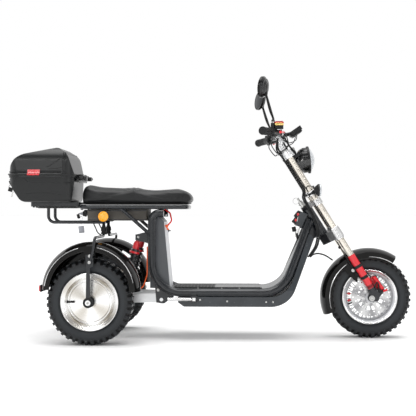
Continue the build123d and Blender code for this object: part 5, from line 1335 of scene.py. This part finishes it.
CLIP = BAR + mm(6, -104, -14)
loops = Kit()
for run in (
    [place + mm(8, -20, -18), place + mm(-2, -40, -48), place + mm(-46, -70, -62), CLIP],
    [place + mm(4, 18, -18), place + mm(-10, 26, -56), place + mm(-60, 40, -80), fork(30, 40, 866)],
):
    loops.sweep(run, 2.2, 8, smooth=8)
for way in (-1, 1):
    perch = on_bar(way, PERCH)[0]
    brake = [perch + mm(52, 0, 6), perch + mm(66, -way * 30, -10), BAR + mm(40, way * 96, -60)]
    loops.sweep(brake + [fork(26, way * 82, 868)], 3, 8, smooth=8)
    switch = [on_bar(way, 170)[0] + mm(-4, 0, -18), BAR + mm(-46, way * 130, -56)]
    switch += [BAR + mm(-18, way * 104, -96), fork(24, way * 84, 872)]
    loops.sweep(switch, 2.6, 8, smooth=8)
down = [mm(376, -70, 1031), mm(407, -66, 980), mm(436, -58, 947), LAMP - LAMP_OUT * 0.066]
loops.sweep([CLIP, BAR + mm(26, -90, -22)] + down, 5, 12, smooth=8)
loops.done("bar_wires", "steering", cable_black)

# %% [markdown]
# ## Hoses from the bar to the frame
# Two ribbed hoses run from the bar down behind the right fork tube to the frame, and a short line goes on
# towards the front brake. Fixed to one body they would tear loose as the fork turns, so they are fastened to
# no body.

# %% Hoses
hoses = Kit()
for back, side, size in ((0.0, 0.0, 4.4), (9.5, 3.0, 4.2)):
    route = [BAR + mm(-13, -96, -20)]
    for ahead, up in ((32, 890), (35, 840), (35, 760), (35, 680), (33, 640)):
        route.append(fork(ahead - back, side - 92, up))
    for x, y, z in (
        (482, 92, 716), (497, 92, 684), (525, 93, 634), (548, 94, 574), (555, 94, 530), (546, 94, 476),
        (524, 93.5, 438), (508, 92, 416),
    ):
        route.append(mm(x - back, side - y, z))
    hoses.sweep(route, size, 8, smooth=14, rib=0.16)
ribbed = hoses.done("ribbed_hoses", None, cable_black)
fork(24.7, -92, 660)
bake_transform(ribbed)
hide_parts("steering_cables")

brake_line = Kit()
run = [(512, -92, 418), (524, -95, 429), (551, -96, 434), (586, -90, 424), (624, -76, 400)]
brake_line.sweep([mm(*step) for step in run], 3.8, smooth=10)
line = brake_line.done("brake_line", None, cable_black)
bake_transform(line)


# %% [markdown]
# ## Lugs and trim of the wheels
# Between the moulded lugs of each tyre stand shorter ones, with small blocks along the crown. They could be
# a bump, but the tyre's outline would stay smooth. The wheels also carry valve stems, axle rings and bright
# rim lines, and all of it turns with the wheel.

# %% Tread and valves
def around(centre, turn, radius, side):
    """Point on a wheel: angle round the axle, radius and side step in mm, with its outward direction."""
    out = Vector((math.cos(turn), 0, math.sin(turn)))
    return centre + out * radius / 1000 + Vector((0, side / 1000, 0)), out


def wheel_ring(kit, centre, radius, side, wire):
    """Thin ring round a wheel; sizes in mm."""
    kit.sweep([around(centre, turn, radius, side)[0] for turn in circle(96)], wire, 8, closed=True)


def tread(name, body, centre, material):
    """Short lugs in the gaps between the CAD tyre's own lugs."""
    lugs = Kit()
    pitch = 2 * math.pi / 20
    for way in (-1, 1):
        for i in range(20):
            # the CAD turns its lugs about +Y, which runs from Z towards X
            turn = -(way * pitch / 4 + pitch * i) + pitch / 2
            spot, out = around(centre, turn, 203.5, way * 30)
            lugs.block(spot, (9, 14, 30), ahead=out, up=(0, 1, 0), bevel=1.5)
            lean = (out + Vector((0, way * 0.75, 0))).normalized()
            spot, out = around(centre, turn, 195, way * 47)
            lugs.block(spot, (10, 13, 20), ahead=lean, up=Vector((0, way, 0)) - out * 0.75, bevel=1.5)
            for step in (-0.25, 0.25):
                spot, out = around(centre, turn + pitch * step, 203, way * 9)
                lugs.block(spot, (8, 10, 12), ahead=out, up=(0, 1, 0), bevel=1.2)
    return lugs.done(name, body, material)


tread("front_tread", "front_wheel", FRONT_AXLE, front_rubber)
for way, side in ((-1, "right"), (1, "left")):
    body = "rear_wheel_" + side
    middle = REAR_AXLE + Vector((0, way * REAR_WHEEL_Y, 0))
    tread("rear_tread_" + side, body, middle, rear_rubber)
    stem = Kit()
    foot, out = around(middle, math.pi, 108, way * 38)
    stem.lathe(foot, -out, [(-4, 7), (4, 7), (6, 5), (24, 4.4), (25, 5.4), (33, 5.4), (34, 4)], 18)
    stem.lathe(middle, (0, way, 0), [(39, 26), (41, 26), (43, 24), (43, 15), (41, 14)], 40)
    stem.done("valve_" + side, body, cable_black)
    trim = Kit()
    for radius, depth, wire in ((139, 46.4, 1.6), (127.5, 40, 1.3), (104.5, 33.4, 1.6)):
        wheel_ring(trim, middle, radius, way * depth, wire)
    trim.done("hub_trim_" + side, body, bright_metal)

# %% [markdown]
# ### Front wheel
# Turned nipples ring the rim's inside and six bolts hold the brake disc. The valve, two red marks and the
# flanges of the hub are pieces of their own, because each has a finish of its own.

# %% Front wheel: nipples, disc bolts and valve
nipples = Kit()
for i, turn in enumerate(circle(32)):
    spot, out = around(FRONT_AXLE, turn + 0.05 * (i % 2), 110, -12 + 24 * (i % 2))
    nipples.lathe(spot, out, [(-8, 2.4), (0, 3.2), (4, 4.2), (6, 4.2)], 8)
for turn in circle(6):
    nipples.bolt(around(FRONT_AXLE, turn, 36, -64)[0], (0, -1, 0), 4.2, 3.5)
for way in (-1, 1):
    wheel_ring(nipples, FRONT_AXLE, 138.5, way * 46.4, 1.8)
nipples.done("front_wheel_trim", "front_wheel", bright_metal)
valve = Kit()
foot, out = around(FRONT_AXLE, math.radians(200), 116, -20)
valve.lathe(foot, -out, [(-4, 6), (4, 6), (6, 4.6), (20, 4), (21, 5), (28, 5), (29, 3.5)], 16)
valve.done("front_valve", "front_wheel", cable_black)
marks = Kit()
for turn in (172, 191):
    spot, out = around(FRONT_AXLE, math.radians(turn), 104, -16)
    marks.block(spot, (12, 14, 8), ahead=out, up=(0, 1, 0), bevel=2)
    marks.lathe(spot, out, [(-12, 2.5), (-6, 4), (6, 4), (10, 2.5)], 10)
# the marks take the red lens finish and glow faintly: painted light, as they are no lamp
marks.done("spoke_marks", "front_wheel", red_lens)
flanges = Kit()
for way in (-1, 1):
    flange = [(0, 40.5), (6, 40.5), (8, 36), (8, 27), (6, 26.5)]
    flanges.lathe(FRONT_AXLE + mm(0, way * 30, 0), (0, way, 0), flange, 36)
flanges.done("hub_flanges", "front_wheel", cast_silver)


# %% [markdown]
# ## Floor
# The studio floor is a white sheet. One large pale plane does it, and catches the soft shadow under the
# trike.

# %% Floor
floor_mesh = bpy.data.meshes.new("floor")
floor_mesh.from_pydata([(-80, -80, 0), (80, -80, 0), (80, 80, 0), (-80, 80, 0)], [], [(0, 1, 2, 3)])
floor = bpy.data.objects.new("floor", floor_mesh)
floor.data.materials.append(finish("floor_white", rgb(246, 246, 246), 0.8, grain=40, bump=0.0, vary=0.01))
scene.collection.objects.link(floor)
